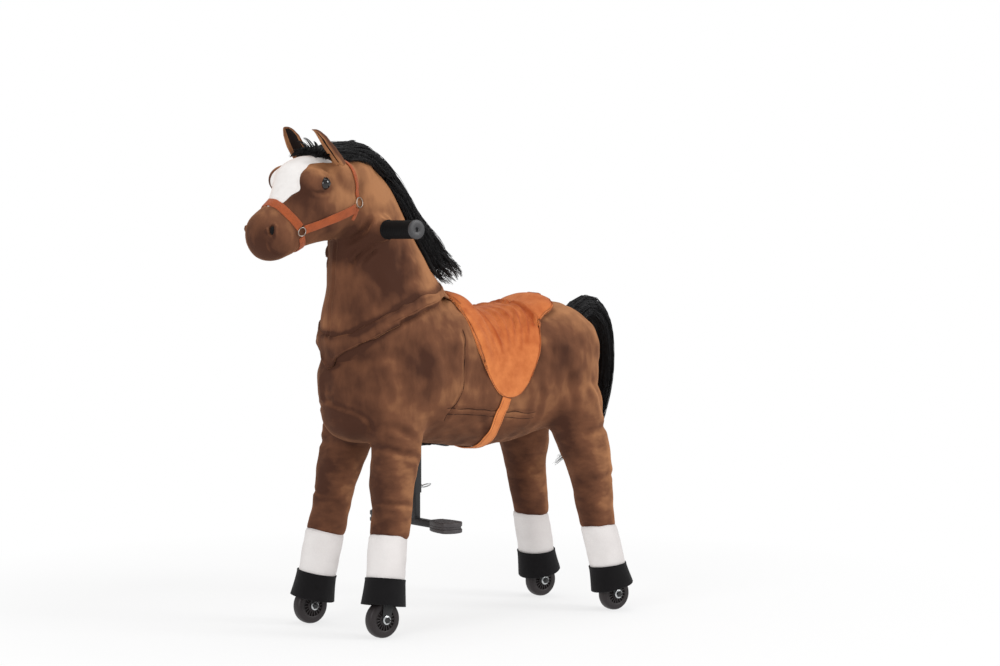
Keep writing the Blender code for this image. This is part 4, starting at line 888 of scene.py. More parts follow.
def tilted(y, z, half_depth, half_width, tilt):
    """Neck section: its depth runs along a line that rises backwards by the tilt."""
    t = math.radians(tilt)
    return oval((0, y, z), X, np.array([0, math.cos(t), math.sin(t)]), half_width, half_depth, 96)


BASE_ROWS = [(-0.004, 0.060, 0.050), (-0.010, 0.113, 0.078), (-0.002, 0.123, 0.083)]
BASE_ROWS += [(0.012, 0.1247, 0.087), (0.030, 0.1245, 0.091)]
base = []  # the neck's foot, closed below
for lift, depth, width in BASE_ROWS:
    spot = NECK_FOOT + NECK_UP * lift
    base.append(tilted(spot[1], spot[2], depth, width, 20))
neck = [tilted(*row) for row in through(NECK_ROWS, 6)]
head = []
for y, z, high, half, tilt in through(HEAD_ROWS, 5):
    t = math.radians(tilt)
    head.append(oval((0, y, z), X, np.array([0, -math.sin(t), math.cos(t)]), half, high, 80, 2.1))


def ball(centre, size, rows=14):
    """Shell of an egg with half sizes along X, Y and Z."""
    rings = []
    for turn in np.linspace(0.1, math.pi - 0.1, rows):
        spot = np.asarray(centre) + Z * size[2] * math.cos(turn)
        rings.append(oval(spot, X, Y, size[0] * math.sin(turn), size[1] * math.sin(turn), 28))
    return skin(rings)


MUZZLE = (0, -0.3600, 0.7165, 0.0475, 0.0455, 0.0465)  # centre, then half sizes
SWELLS = [  # brow, cheek, temple and the neck's root behind the jaw, on each side
    (0.0420, -0.2990, 0.8085, 0.0250, 0.0320, 0.0260),
    (0.0330, -0.2560, 0.7500, 0.0255, 0.0340, 0.0360),
    (0.0260, -0.2330, 0.8060, 0.0330, 0.0360, 0.0380),
    (0.0500, -0.1640, 0.7190, 0.0320, 0.0290, 0.0280),
]
CROWN = [(0, -0.2600, 0.8120, 0.0400, 0.0420, 0.0430)]
CROWN += [(0, -0.1930, 0.8040, 0.0480, 0.0540, 0.0450)]
swells = [MUZZLE] + [(side * x, *rest) for side in (1, -1) for x, *rest in SWELLS] + CROWN
shells = [skin(base + neck), skin(head)] + [ball(row[:3], row[3:]) for row in swells]
points, faces = melt(shells, grain=0.0025)
points = relax(points, faces, 5)
in_throat = np.exp(-((np.linalg.norm(points[:, 1:] - (-0.205, 0.730), axis=1) / 0.05) ** 2))
in_poll = np.exp(-((np.linalg.norm(points[:, 1:] - (-0.225, 0.835), axis=1) / 0.04) ** 2))
points = relax(points, faces, 40, (0.12 + np.maximum(0.88 * in_throat, 0.25 * in_poll))[:, None])
normals = outward(points, faces)
below_head = np.clip((0.74 - points[:, 2]) / 0.1, 0.1, 1)
lumpy = lumps(points, normals, size=0.045, height=0.0040)
points = points + (lumpy - points) * below_head[:, None]
NECK_SEAM = [(0.0232, -0.252, 0.705), (0.0036, -0.2219, 0.6878), (0.0019, -0.2223, 0.6557)]
NECK_SEAM += [(0.0011, -0.2249, 0.6185), (-0.004, -0.230, 0.5806), (0.0, -0.236, 0.5170)]
NECK_FOLDS = [  # points of a fold's line, its depth and width in mm
    ([(0.055, -0.1825, 0.7016), (0.038, -0.2073, 0.6734), (0.0339, -0.2109, 0.661)], -4.05, 3.6),
    ([(0.050, -0.1880, 0.6960), (0.036, -0.2080, 0.6650), (0.030, -0.2140, 0.648)], 4.05, 4.5),
    ([(0.060, -0.166, 0.6957), (0.0573, -0.1798, 0.6857), (0.046, -0.198, 0.668)], -3.51, 3.2),
    ([(0.057, -0.172, 0.6890), (0.0540, -0.1850, 0.6780), (0.044, -0.202, 0.656)], 3.78, 4.0),
    ([(0.052, -0.178, 0.742), (0.050, -0.186, 0.724), (0.040, -0.206, 0.706),
      (0.022, -0.222, 0.694)], 6.75, 6.0),
    ([(0.056, -0.165, 0.735), (0.058, -0.160, 0.722), (0.056, -0.166, 0.708)], 2.43, 4),
    ([(0.062, -0.110, 0.690), (0.066, -0.125, 0.665), (0.068, -0.135, 0.640)], 3.24, 9),
    ([(0.070, -0.080, 0.650), (0.078, -0.100, 0.630), (0.084, -0.130, 0.615)], 3.51, 9),
    ([(0.060, -0.190, 0.650), (0.070, -0.175, 0.625), (0.078, -0.165, 0.605)], 3.24, 9),
]
points = creased(points, normals, NECK_FOLDS, lip=0.4, fade=0.3)
points = crease(points, normals, NECK_SEAM, depth=0.0024, width=0.0030, lip=0.3, fade=0.05)

# The blaze's left edge on the face, then the seams and the face's own hollows
BLAZE = [(0.0, -0.262, 0.870), (0.030, -0.262, 0.868), (0.0445, -0.2650, 0.8560)]
BLAZE += [(0.0400, -0.2700, 0.8480), (0.0300, -0.2850, 0.8410), (0.0349, -0.3030, 0.8330)]
BLAZE += [(0.0385, -0.3130, 0.8254), (0.0428, -0.3198, 0.8130), (0.0433, -0.3212, 0.7989)]
BLAZE += [(0.0306, -0.3369, 0.7875), (0.0202, -0.3532, 0.7727), (0.0, -0.3680, 0.7675)]
blaze_line = through(BLAZE, 6)[:, [0, 2]]
spots = np.column_stack([np.abs(points[:, 0]), points[:, 2]])
inside, reach = np.zeros(len(spots), bool), np.full(len(spots), 1.0)
for a, b in zip(blaze_line, np.roll(blaze_line, -1, 0)):
    crosses = (a[1] > spots[:, 1]) != (b[1] > spots[:, 1])
    rise = np.where(crosses, b[1] - a[1], 1.0)
    inside ^= crosses & (spots[:, 0] < a[0] + (b[0] - a[0]) * (spots[:, 1] - a[1]) / rise)
    t = np.clip((spots - a) @ (b - a) / max((b - a) @ (b - a), 1e-12), 0, 1)
    if min(a[0], b[0]) > 0 or max(a[0], b[0]) > 0.001:
        reach = np.minimum(reach, np.linalg.norm(spots - a - t[:, None] * (b - a), axis=1))
blaze = np.where(inside, reach, -reach)
blaze[points[:, 1] > -0.248] = -0.02  # none behind the crown
blaze[(points[:, 2] < 0.79) & (points[:, 1] > -0.32)] = -0.02  # none under the jaw

# Points, depth and width in mm, lip and fade of the blaze's seam, the nostril's dart, the
# mouth, and the lids below and above the eye
FACE_LINES = [
    (BLAZE[3:], 1.2, 2.0, 0.3, 0),
    ([(0.0330, -0.3843, 0.7365), (0.0326, -0.3830, 0.7280), (0.0335, -0.3860, 0.7180)],
     7.5, 3.6, 0.45, 0.2),
    ([(0.0335, -0.390, 0.7080), (0.0317, -0.3857, 0.6938), (0.0360, -0.3650, 0.6800)],
     1.3, 2.2, 0.3, 0.15),
    ([(0.052, -0.312, 0.800), (0.058, -0.300, 0.791), (0.0600, -0.284, 0.790),
      (0.058, -0.270, 0.797)], 2.0, 3.5, 0.4, 0.25),
    ([(0.048, -0.306, 0.822), (0.052, -0.292, 0.828), (0.053, -0.276, 0.826),
      (0.053, -0.262, 0.816)], -2.0, 4.0, 0.4, 0.25),
]
for line, depth, width, lip, fade in FACE_LINES:
    points = creased(points, normals, [(line, depth, width)], lip, fade)
for side in (1, -1):  # the hollows that the eyes are set in
    far = np.linalg.norm(points - EYE * (side, 1, 1), axis=1)
    points = points - normals * (0.0050 * np.exp(-((far / 0.0105) ** 2)))[:, None]

# Plush of the head: brown as on the body, white inside the blaze's seam.
head_plush = plush_look("head_plush", *BROWNS, 0.7)
tree = head_plush.node_tree
blaze_place = add(head_plush, "Attribute", {"attribute_name": "blaze"})
blaze_here = add(head_plush, "Math", {"operation": "GREATER_THAN"}, {
    0: blaze_place.outputs["Fac"], 1: 0.0,
})
white_nap = add(head_plush, "TexNoise", inputs={
    "Vector": add(head_plush, "Attribute", {"attribute_name": "rest_place"}).outputs["Vector"],
    "Scale": 90.0, "Detail": 4.0,
})
white_tone = add(head_plush, "MixRGB", inputs={
    "Fac": white_nap, "Color1": colour("#dbd7d4"), "Color2": colour("#eae7e5"),
})
shader = next(n for n in tree.nodes if n.type == "BSDF_PRINCIPLED")
brown_tone = shader.inputs["Base Color"].links[0].from_socket
coat = add(head_plush, "MixRGB", inputs={
    "Fac": blaze_here, "Color1": brown_tone, "Color2": white_tone,
})
tree.links.new(coat.outputs["Color"], shader.inputs["Base Color"])

neck_and_head = piece("neck_and_head", [(points, faces)], head_plush)
mark = neck_and_head.data.attributes.new("blaze", "FLOAT", "POINT")
mark.data.foreach_set("value", blaze.astype(np.float32))
bend_low, bend_high = NECK_FOOT - NECK_UP * 0.004, NECK_FOOT + NECK_UP * 0.050
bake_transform(neck_and_head)
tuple(bend_low)
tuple(bend_high)
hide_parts("neck_plush", "head_plush")
head_tree = BVHTree.FromPolygons(points.tolist(), faces.tolist())

# ---- Neck skirt ----------------------------------------------------------------------
# A collar of the same plush, folded double and sewn round the foot of the neck. It hangs
# loose over the shoulders, comes down to a point on the chest and hides the turning gap.


def round_neck(line):
    """Left half of a line round the neck, carried on over the right half."""
    half = through(line, 12)
    return np.vstack([half, (half * (-1, 1, 1))[-2:0:-1]])


def clear_of(trees, cover, least):
    """Lifts the points of a cover to at least the given heights over the skins under it."""
    cover = cover.copy()
    for k, height in enumerate(least):
        for tree in trees:
            spot, way, _, _ = tree.find_nearest(Vector(cover[k]))
            cover[k] += np.array(way) * max(height - (Vector(cover[k]) - spot).dot(way), 0)
    return cover


all_points = np.vstack([body_points, points])
all_faces = body_faces.tolist() + (faces + len(body_points)).tolist()
under_tree = BVHTree.FromPolygons(all_points.tolist(), all_faces)
LAYER = [  # share of the way from the top to the edge, height off the neck in mm
    (0.0, -2.0), (0.025, -0.6), (0.06, 0.6), (0.10, 2.6), (0.15, 4.2), (0.22, 4.6), (0.32, 4.0),
    (0.45, 3.6), (0.62, 3.9), (0.78, 4.6), (0.86, 4.8), (0.90, 4.5), (0.94, 6.0), (0.975, 6.6),
    (1.0, 5.6), (1.006, 3.2), (1.0, -1.0), (0.90, -2.0), (0.5, -2.0),
]
rings = []
for high, low in zip(round_neck(SKIRT_TOP), round_neck(SKIRT_EDGE)):
    ring = []
    thin = np.interp(low[1], [-0.234, -0.185], [0.6, 1.0])
    for share, lift in LAYER:
        aim = high + (low - high) * share
        aim = aim + (aim - (0, -0.11, aim[2])) * 0.12
        spot, way = on_skin(under_tree, aim)
        ring.append(spot + way * lift * (thin if lift > 0 else 1) / 1000)
    rings.append(ring)
spots, quads = skin(rings, True)
quads = np.array(quads)
settle = np.clip((spots[:, 1:2] + 0.085) / 0.05, 0.12, 1)  # the skirt's back lies smoother
spots = spots + (relax(spots, quads, 14) - spots) * settle
normals = outward(spots, quads)
if (normals * (spots - (0, -0.11, 0.54))).sum() < 0:
    quads = quads[:, ::-1]
    normals = -normals
SKIRT_FOLDS = [  # points of a fold's line, its depth and width in mm
    ([(0.0690, -0.0482, 0.6070), (0.0820, -0.0700, 0.5960), (0.0960, -0.1050, 0.5790)], 2.6, 5),
    ([(0.0844, -0.1007, 0.6000), (0.0920, -0.1250, 0.5830), (0.0960, -0.1460, 0.5640)], 3.0, 6),
    ([(0.0860, -0.1400, 0.5870), (0.0900, -0.1600, 0.5680), (0.0880, -0.1760, 0.5480)], 2.6, 6),
    ([(0.0705, -0.1937, 0.5570), (0.0740, -0.1990, 0.5430), (0.0680, -0.2080, 0.5220)], 2.6, 6),
    ([(0.0500, -0.2158, 0.5400), (0.0460, -0.2240, 0.5220), (0.0340, -0.2300, 0.5010)], 2.4, 6),
    ([(0.0200, -0.2295, 0.5300), (0.0120, -0.2330, 0.5100), (0.0040, -0.2350, 0.4900)], 1.8, 6),
]
spots = creased(spots, normals, SKIRT_FOLDS, lip=0.4, fade=0.3)
spots = lumps(spots, normals, size=0.030, height=0.0016)
least = [0.0026 if lift > 2.5 else 0.0012 if lift > 0.5 else -1.0 for _, lift in LAYER]
outer = len(least) * len(rings)
lifted = clear_of((body_tree, head_tree), spots[:outer], least * len(rings))
spots = np.vstack([lifted, spots[outer:]])
skirt = piece("neck_skirt", [(spots, quads)], brown_plush)
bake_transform(skirt)
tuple(bend_low)
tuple(bend_high)

# ---- Eyes ----------------------------------------------------------------------------
# Domed plastic safety eyes, dark brown round a black pupil under a clear front, each set
# in a thin rim and locked through the plush from behind.

# Acrylic: deep brown under a hard clear gloss that mirrors the lights as small dots.
eye_plastic = new_look("eye_acrylic")
eye_place = add(eye_plastic, "TexCoord").outputs["Object"]
iris = add(eye_plastic, "TexNoise", inputs={"Vector": eye_place, "Scale": 500.0})
iris_tone = add(eye_plastic, "MixRGB", inputs={
    "Fac": iris, "Color1": colour("#050304"), "Color2": colour("#120a0a"),
})
shader = add(eye_plastic, "BsdfPrincipled", inputs={
    "Base Color": iris_tone, "Roughness": 0.06, "Specular IOR Level": 0.6,
})
add(eye_plastic, "OutputMaterial", inputs={"Surface": shader})
EYE_R, EYE_DEPTH, EYE_SUNK = 0.0098, 0.0112, 0.004
for word, side in SIDES:
    spot, normal = on_skin(head_tree, EYE * (side, 1, 1))
    normal = unit(normal + X * side * 0.6 - Y * 0.35)
    rim = [(0.0, 0.0), (0.0, 0.0108), (0.0035, 0.0112), (0.0048, 0.0106), (0.0050, 0.0098)]
    turns = np.linspace(0.1, 1.5, 9)
    dome = rim + [(0.0050 + 0.0062 * math.sin(t), EYE_R * math.cos(t)) for t in turns]
    profile = [(height / EYE_DEPTH, max(radius, 0.0002)) for height, radius in dome]
    start = spot - normal * EYE_SUNK
    shell = turned(start, start + normal * EYE_DEPTH, profile, 40)
    eye = piece(f"{word}_safety_eye", [shell], eye_plastic, "neck")
    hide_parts(f"{word}_eye")

# ---- Ears ----------------------------------------------------------------------------
# Two leaf-shaped ears, brown plush behind and a darker lining in the hollow, sewn along
# the edge and stitched to the crown of the head.

# Lining: short dark brown plush, with the same painted sheen and shade as the rest of the pile.
ear_lining = plush_look("ear_lining", "#1a100d", "#2f1d16", "#553628", 0.2)
EAR_ROOT, EAR_TIP = np.array([0.0540, -0.2540, 0.8340]), np.array([0.0403, -0.3005, 0.9005])
EAR_SHARES = [0, 0.15, 0.4, 0.7, 0.88, 0.97, 1]
EAR_HALVES = [18, 20.5, 21.5, 18, 12, 6, 1.8]  # half width in mm at each share of the height
for word, side in SIDES:
    root, tip = EAR_ROOT * (side, 1, 1), EAR_TIP * (side, 1, 1)
    along = unit(tip - root)
    face_way = np.array([side * -0.27, -0.88, -0.30])
    face_way = unit(face_way - along * (face_way @ along))
    across = np.cross(along, face_way)
    back_rings, front_rings = [], []
    for share in np.linspace(0, 1, 21):
        half = np.interp(share, EAR_SHARES, EAR_HALVES) / 1000
        spot = root + (tip - root) * share + face_way * 0.004 * math.sin(math.pi * share)
        bend = np.linspace(-1, 1, 17) * math.radians(58 - 14 * share)
        radius = half / math.sin(bend[-1])
        wall = 0.0056 * (1 - 0.65 * share**2)
        ways = [across * math.sin(b) - face_way * math.cos(b) for b in bend]
        outer = [spot + way * radius + face_way * radius * 0.25 for way in ways]
        inner = [c - way * wall for c, way in zip(outer, ways)]
        back_rings.append(outer + inner[::-1])
        hollow = list(zip(outer, ways))[3:-3]
        lined = [c - way * (wall + 0.0006) for c, way in hollow]
        sunk = [c - way * (wall - 0.0010) for c, way in hollow]
        front_rings.append(lined + sunk[::-1])
    ear_parts = [("shell", back_rings, brown_plush, "brown_plush")]
    ear_parts += [("lining", front_rings[1:-2], ear_lining, "black_fur")]
    for label, ear_rings, look, slot in ear_parts:
        run = through(np.array(ear_rings).reshape(len(ear_rings), -1), 2)
        ear_shell = skin(run.reshape(len(run), -1, 3))
        ear = piece(f"{word}_ear_{label}", [ear_shell], look, "neck")
        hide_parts(f"{word}_ear")

# ---- Nostrils ------------------------------------------------------------------------
# The plush is taken in by a dart on each side of the muzzle. A small patch of the cuffs'
# black canvas is sewn in at the bottom of the dart.

for word, side in SIDES:
    spot, way = on_skin(head_tree, (side * 0.0345, -0.3840, 0.7275))
    pad = ball(spot + way * 0.0006, (0.0042, 0.0042, 0.0078), 10)
    nostril = piece(f"{word}_nostril_patch", [pad], cuff_cloth, "neck")

# ---- Halter --------------------------------------------------------------------------
# Rust-orange ribbed webbing, folded and sewn through four nickel-plated rings: a noseband,
# a chin strap, two cheek straps, a strap behind the ears and one under the throat.

# Webbing: ribs 1.2 mm apart run across the strap in a warm, slightly hairy yarn.
webbing = fabric_look("rust_webbing", "#85401f", "#b3592f", 0.0012, 0.0005, 0.15)
nickel = hard_look("nickel_plate", "#8f857c", "#b9aea4", 0.004, 0.3, 0.00003, 1.0)


def strap_section(half, thick):
    """Outline of a flat strap whose edges are rounded and whose underside lies on the skin."""
    return rounded(half, thick / 2, thick * 0.45, 4) + (0, thick / 2)


def over_middle(line):
    """A line from the left side to the middle, carried on over the right side."""
    return line + [(-x, y, z) for x, y, z in reversed(line[:-1])]


LOWER_RING = (0.0430, -0.3260, 0.7235)
UPPER_RING = (0.0450, -0.2060, 0.7680)
STRAP_THICK = 0.0022
nose = [(0.0425, -0.3290, 0.7310), (0.0400, -0.3405, 0.7440), (0.0335, -0.3508, 0.7565)]
nose += [(0.0200, -0.3582, 0.7690), (0.0, -0.3620, 0.7750)]
chin = [(0.0400, -0.3230, 0.7130), (0.0250, -0.3120, 0.6960), (0.0, -0.3080, 0.6860)]
cheek = [(0.0440, -0.3190, 0.7260), (0.0487, -0.2940, 0.7340), (0.0577, -0.2613, 0.7455)]
cheek += [(0.0510, -0.2150, 0.7590)]
crown = [(0.0450, -0.2050, 0.7780), (0.0480, -0.2090, 0.7930), (0.0530, -0.2160, 0.8090)]
crown += [(0.0500, -0.2190, 0.8260), (0.0300, -0.2240, 0.8560), (0.0, -0.2260, 0.8680)]
throat = [(0.0471, -0.2073, 0.7580), (0.0488, -0.2129, 0.7488), (0.0420, -0.2200, 0.7300)]
throat += [(0.0200, -0.2230, 0.7180), (0.0, -0.2240, 0.7150)]
lines = [(over_middle(nose), 0.0080, 0), (over_middle(chin), 0.0065, 0)]
lines += [(line, 0.0082, 0) for line in both(cheek)]
lines += [(over_middle(crown), 0.0048, 0), (over_middle(throat), 0.0048, 0.006)]
straps = []
for line, half, depth in lines:  # depth: how far the strap is lost in the fold of the throat
    spots, ways = laid_on(head_tree, line)
    lost = depth * np.exp(-((np.abs(spots[:, 0]) / 0.0480) ** 20))
    spots = spots + ways * (0.0006 - lost)[:, None]
    straps.append(skin(sweep(spots, strap_section(half, STRAP_THICK), ways)))
halter = piece("halter_straps", straps, webbing, "neck", 50)
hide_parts("halter")
ring_shells = []
for ring, radius in ((LOWER_RING, 0.0078), (UPPER_RING, 0.0088)):
    for side in (1, -1):
        spot, way = on_skin(head_tree, np.array(ring) * (side, 1, 1))
        across = unit(np.cross(way, Z))
        path = oval(spot + way * 0.0040, across, np.cross(way, across), radius, radius, 40)
        ring_shells.append(skin(sweep(path, circle(0.0010, 12), way, True), True))
halter_rings = piece("halter_rings", ring_shells, nickel, "neck")

# ---- Handlebar grips -----------------------------------------------------------------
# Foam rubber sleeves pushed on the handlebar, each with a flange towards the neck and a
# grey plastic end cap that has a hole in its middle.

# Foam rubber: black and matt with fine open pores; the cap is smooth grey plastic.
grip_rubber = hard_look("grip_rubber", "#030304", "#0a0a0b", 0.0009, 0.7, 0.0002, specular=0.15)
cap_plastic = hard_look("cap_plastic", "#2f2e30", "#3b3a3c", 0.0015, 0.45, 0.00006)
GRIP_IN, GRIP_OUT = 0.079, 0.160  # x of the sleeve's ends
CAP_IN, CAP_OUT = 0.1601, 0.1655
GRIP_RIBS = 14


def bar_point(side, x):
    """Point on the axis of the handlebar's grip."""
    return np.array([side * x, -0.16416, 0.715 + x * 0.071])


sleeve = [(0, 0.0120), (0, 0.0158), (0.008, 0.0174), (0.046, 0.0176), (0.058, 0.0172)]
sleeve += [(0.062, 0.0166)]
for base in 0.085 + 0.064 * np.arange(GRIP_RIBS):  # shallow ribs
    sleeve += [(base, 0.0165), (base + 0.040, 0.0165)]
    sleeve += [(base + 0.050, 0.0161), (base + 0.056, 0.0161)]
sleeve += [(0.985, 0.0165), (1, 0.0155)]
cap_profile = [(0, 0.0130), (0, 0.0168), (0.15, 0.0172), (0.6, 0.0172), (0.9, 0.0164)]
cap_profile += [(1, 0.0150), (1.0, 0.0055), (0.9, 0.0045), (0.55, 0.0032), (0.1, 0.0030)]
for word, side in SIDES:
    foam = turned(bar_point(side, GRIP_IN), bar_point(side, GRIP_OUT), sleeve, 56)
    grip = piece(f"{word}_foam_grip", [foam], grip_rubber, "neck", 50)
    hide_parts(f"{word}_grip")
    cap_shell = turned(bar_point(side, CAP_IN), bar_point(side, CAP_OUT), cap_profile, 48)
    cap = piece(f"{word}_end_cap", [cap_shell], cap_plastic, "neck", 40)
    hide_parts(f"{word}_grip_cap")

# ---- Mane, forelock and tail ---------------------------------------------------------
# Long-pile black fake fur: the mane is a strip sewn along the crest from the ears to the
# saddle, with a tuft between the ears; the tail is a stuffed tube of the same fur.

MANE_ROWS = [  # root on the crest y, z; outer hair y, z; half width
    (-0.272, 0.848, -0.276, 0.860, 0.022),
    (-0.245, 0.851, -0.243, 0.868, 0.028),
    (-0.215, 0.850, -0.211, 0.869, 0.028),
    (-0.180, 0.843, -0.171, 0.866, 0.028),
    (-0.1566, 0.833, -0.142, 0.852, 0.029),
    (-0.1330, 0.813, -0.114, 0.829, 0.030),
    (-0.1108, 0.790, -0.0890, 0.801, 0.031),
    (-0.0920, 0.762, -0.0680, 0.773, 0.032),
    (-0.0758, 0.728, -0.0480, 0.742, 0.033),
    (-0.0560, 0.694, -0.0240, 0.714, 0.034),
    (-0.0370, 0.660, -0.0010, 0.689, 0.032),
    (-0.0200, 0.634, 0.0170, 0.664, 0.028),
    (-0.0050, 0.614, 0.0370, 0.643, 0.022),
    (0.0200, 0.600, 0.0560, 0.627, 0.014),
    (0.0400, 0.588, 0.0640, 0.612, 0.007),
]
TAIL_ROWS = [  # y, z, half width, half depth
    (0.300, 0.500, 0.014, 0.016),
    (0.322, 0.530, 0.020, 0.020),
    (0.352, 0.546, 0.024, 0.021),
    (0.378, 0.521, 0.028, 0.021),
    (0.388, 0.480, 0.029, 0.020),
    (0.387, 0.420, 0.029, 0.020),
    (0.374, 0.360, 0.026, 0.018),
    (0.354, 0.308, 0.019, 0.014),
    (0.335, 0.272, 0.008, 0.007),
]

# Fake fur: glossy black acrylic hair whose sheen follows the locks.
black_fur = new_look("black_fake_fur")
fur_place = add(black_fur, "Attribute", {"attribute_name": "rest_place"}).outputs["Vector"]
locks = add(black_fur, "TexNoise", inputs={"Vector": fur_place, "Scale": 160.0, "Detail": 4.0})
fur_tone = add(black_fur, "MixRGB", inputs={
    "Fac": locks, "Color1": colour("#040304"), "Color2": colour("#100e11"),
})
fur_bump = add(black_fur, "Bump", inputs={"Height": locks, "Distance": 0.002})
shader = add(black_fur, "BsdfPrincipled", inputs={
    "Base Color": fur_tone, "Roughness": 0.42, "Specular IOR Level": 0.35, "Normal": fur_bump,
})
add(black_fur, "OutputMaterial", inputs={"Surface": shader})
chance = np.random.default_rng(7)
MANE_LOCKS, FORELOCKS, TAIL_LOCKS = 430, 70, 150
MANE_HAIR, TAIL_HAIR = 0.00062, 0.00060  # radius at the root


def hairs(paths, radius):
    """Thin three-sided hairs along paths given as (hairs, points, 3), thinner at the ends."""
    count, steps = paths.shape[:2]
    along = unit(np.gradient(paths, axis=1))
    side = unit(np.cross(along, np.array([0.31, 0.83, 0.47])))
    other = np.cross(along, side)
    thin = radius * (1 - 0.85 * np.linspace(0, 1, steps) ** 2)[None, :, None]
    rows = []
    for turn in (0, 2 * math.pi / 3, 4 * math.pi / 3):
        rows.append(paths + (side * math.cos(turn) + other * math.sin(turn)) * thin)
    points = np.stack(rows, 2).reshape(-1, 3)
    faces = []
    for h in range(count):
        for s in range(steps - 1):
            a = (h * steps + s) * 3
            for k in range(3):
                faces.append((a + k, a + (k + 1) % 3, a + 3 + (k + 1) % 3, a + 3 + k))
    return points, faces


mane_run = through(MANE_ROWS, 8)
core = []  # the backing, laid on the neck; it ends three rows before the mane's loose tip
for _, _, out_y, out_z, half in mane_run[: -3 * 8]:
    upper, lower = [], []
    for share in np.linspace(-1, 1, 19):
        spot, way = on_skin(under_tree, (share * half * 0.95, out_y, out_z))
        upper.append(spot + way * (0.0004 + 0.0042 * (1 - share**4)))
        lower.append(spot - way * 0.0020)
    core.append(upper + lower[::-1])
rows = np.arange(len(mane_run))
STEPS = 12
fall = np.linspace(0, 1, STEPS)
paths = []
for _ in range(MANE_LOCKS):
    first = chance.uniform(0, len(mane_run) - 26)
    where = first + fall * chance.uniform(13, 26)
    root_y, root_z, out_y, out_z, half = (
        np.interp(where, rows, mane_run[:, k]) for k in range(5)
    )
    turn = chance.uniform(-1, 1) * math.radians(92)
    lift = 0.30 + 0.78 * np.sin(np.minimum(fall * 2.4, 1.45))
    lift = lift + 0.15 * fall**2 * chance.uniform(-0.7, 1.0)
    aside = half * 1.08 * math.sin(turn) * (0.55 + 0.45 * np.sin(fall * 1.7))
    up = lift * math.cos(turn) - 0.35 * (1 - math.cos(turn))
    line = np.column_stack([
        aside, root_y + (out_y - root_y) * up, root_z + (out_z - root_z) * up,
    ])
    clear = 0.0030 + 0.0040 * fall * chance.uniform(0.2, 1.0)
    line = clear_of((under_tree,), line, clear)
    scatter = chance.normal(0, 0.0024, (10, 1, 3)) * (1 - 0.70 * fall**2)[None, :, None]
    paths.append(line[None] + scatter)
for _ in range(FORELOCKS):  # forelock: short locks combed forwards over the top of the blaze
    aside = chance.uniform(-1, 1)
    start = np.array([0.032 * aside, -0.254 + 0.010 * aside, 0.8590 - 0.008 * aside**2])
    reach = chance.uniform(0.016, 0.032)
    way = np.array([0.25 * aside, -0.95, 0.06])
    arch = 0.006 * np.sin(fall * math.pi) - 0.006 * fall**3
    line = start + way * reach * fall[:, None] + Z * arch[:, None]
    scatter = chance.normal(0, 0.0020, (9, 1, 3)) * (1 - 0.6 * fall)[None, :, None]
    paths.append(line[None] + scatter)
TUFTS = [  # over the brow and behind the ears: x, start y and z, reach, rise, bend
    (0.004, -0.268, 0.860, -0.024, 0.024, 1.5),
    (-0.010, -0.268, 0.860, -0.026, 0.018, 1.5),
    (0.016, -0.268, 0.860, -0.010, 0.018, 1.5),
    (0.010, -0.212, 0.862, 0.030, 0.013, 1.9),
    (0.0, -0.212, 0.862, 0.036, 0.010, 1.9),
    (0.016, -0.212, 0.862, 0.022, 0.012, 1.9),
]
for x, y, z, reach, rise, bend in TUFTS:
    line = (x, y, z) + Y * (reach * fall)[:, None] + Z * (rise * np.sin(fall * bend))[:, None]
    scatter = chance.normal(0, 0.0022, (16, 1, 3)) * (1 - 0.75 * fall)[None, :, None]
    paths.append(line[None] + scatter)
mane_hair = hairs(np.concatenate(paths), MANE_HAIR)
mane = piece("mane_fur", [skin(core), mane_hair], black_fur, "neck")
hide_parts("mane")

tail_run = through(TAIL_ROWS, 8)
tail_along = unit(np.gradient(tail_run[:, :2], axis=0))
core, paths = [], []
for (y, z, half, deep), (dy, dz) in zip(tail_run, tail_along):
    core.append(oval((0, y, z), X, np.array([0, -dz, dy]), half * 0.80, deep * 0.80, 32))
STEPS = 16
for _ in range(TAIL_LOCKS):
    turn, off = chance.uniform(0, 2 * math.pi), math.sqrt(chance.uniform(0.45, 1.0))
    first = chance.uniform(0, 0.15 * len(tail_run))
    end_row = chance.uniform(0.75, 1.0) * (len(tail_run) - 1)
    rows = np.linspace(first, end_row, STEPS)
    lane = [np.interp(rows, np.arange(len(tail_run)), tail_run[:, k]) for k in range(4)]
    dy, dz = (np.interp(rows, np.arange(len(tail_run)), tail_along[:, k]) for k in range(2))
    stray = 0.93 + 0.22 * np.linspace(0, 1, STEPS) ** 2 * chance.uniform(-1, 1.2)
    wave = 0.12 * np.sin(np.linspace(0, 5, STEPS) + chance.uniform(0, 6))
    side = lane[2] * off * stray * np.cos(turn + wave)
    back = lane[3] * off * stray * np.sin(turn + wave)
    line = np.column_stack([side, lane[0] - dz * back, lane[1] + dy * back])
    thin = (1 - 0.5 * np.linspace(0, 1, STEPS))[None, :, None]
    paths.append(line[None] + chance.normal(0, 0.0021, (8, 1, 3)) * thin)
ENDS_ROWS = [(0.352, 0.325), (0.330, 0.296), (0.306, 0.275), (0.284, 0.262)]
for aside in (-0.006, 0.004):  # thin ends that swing forward between the hind legs
    ends = through([(aside, y, z) for y, z in ENDS_ROWS], 5)
    line = ends[np.linspace(0, len(ends) - 1, STEPS).astype(int)]
    line = line + Z * (0.012 * (aside > 0) * np.linspace(0, 1, STEPS))[:, None]
    paths.append(line[None] + chance.normal(0, 0.0024, (14, 1, 3)))
tail_hair = hairs(np.concatenate(paths), TAIL_HAIR)
tail = piece("tail_fur", [skin(core), tail_hair], black_fur, "frame")
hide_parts("tail")

# ---- Saddle cloth --------------------------------------------------------------------
# Orange brushed microfibre over thin wadding, cut as a front panel and a cantle panel and
# gathered at the seam between them. Its flaps hang down to the girth, edged by topstitch.

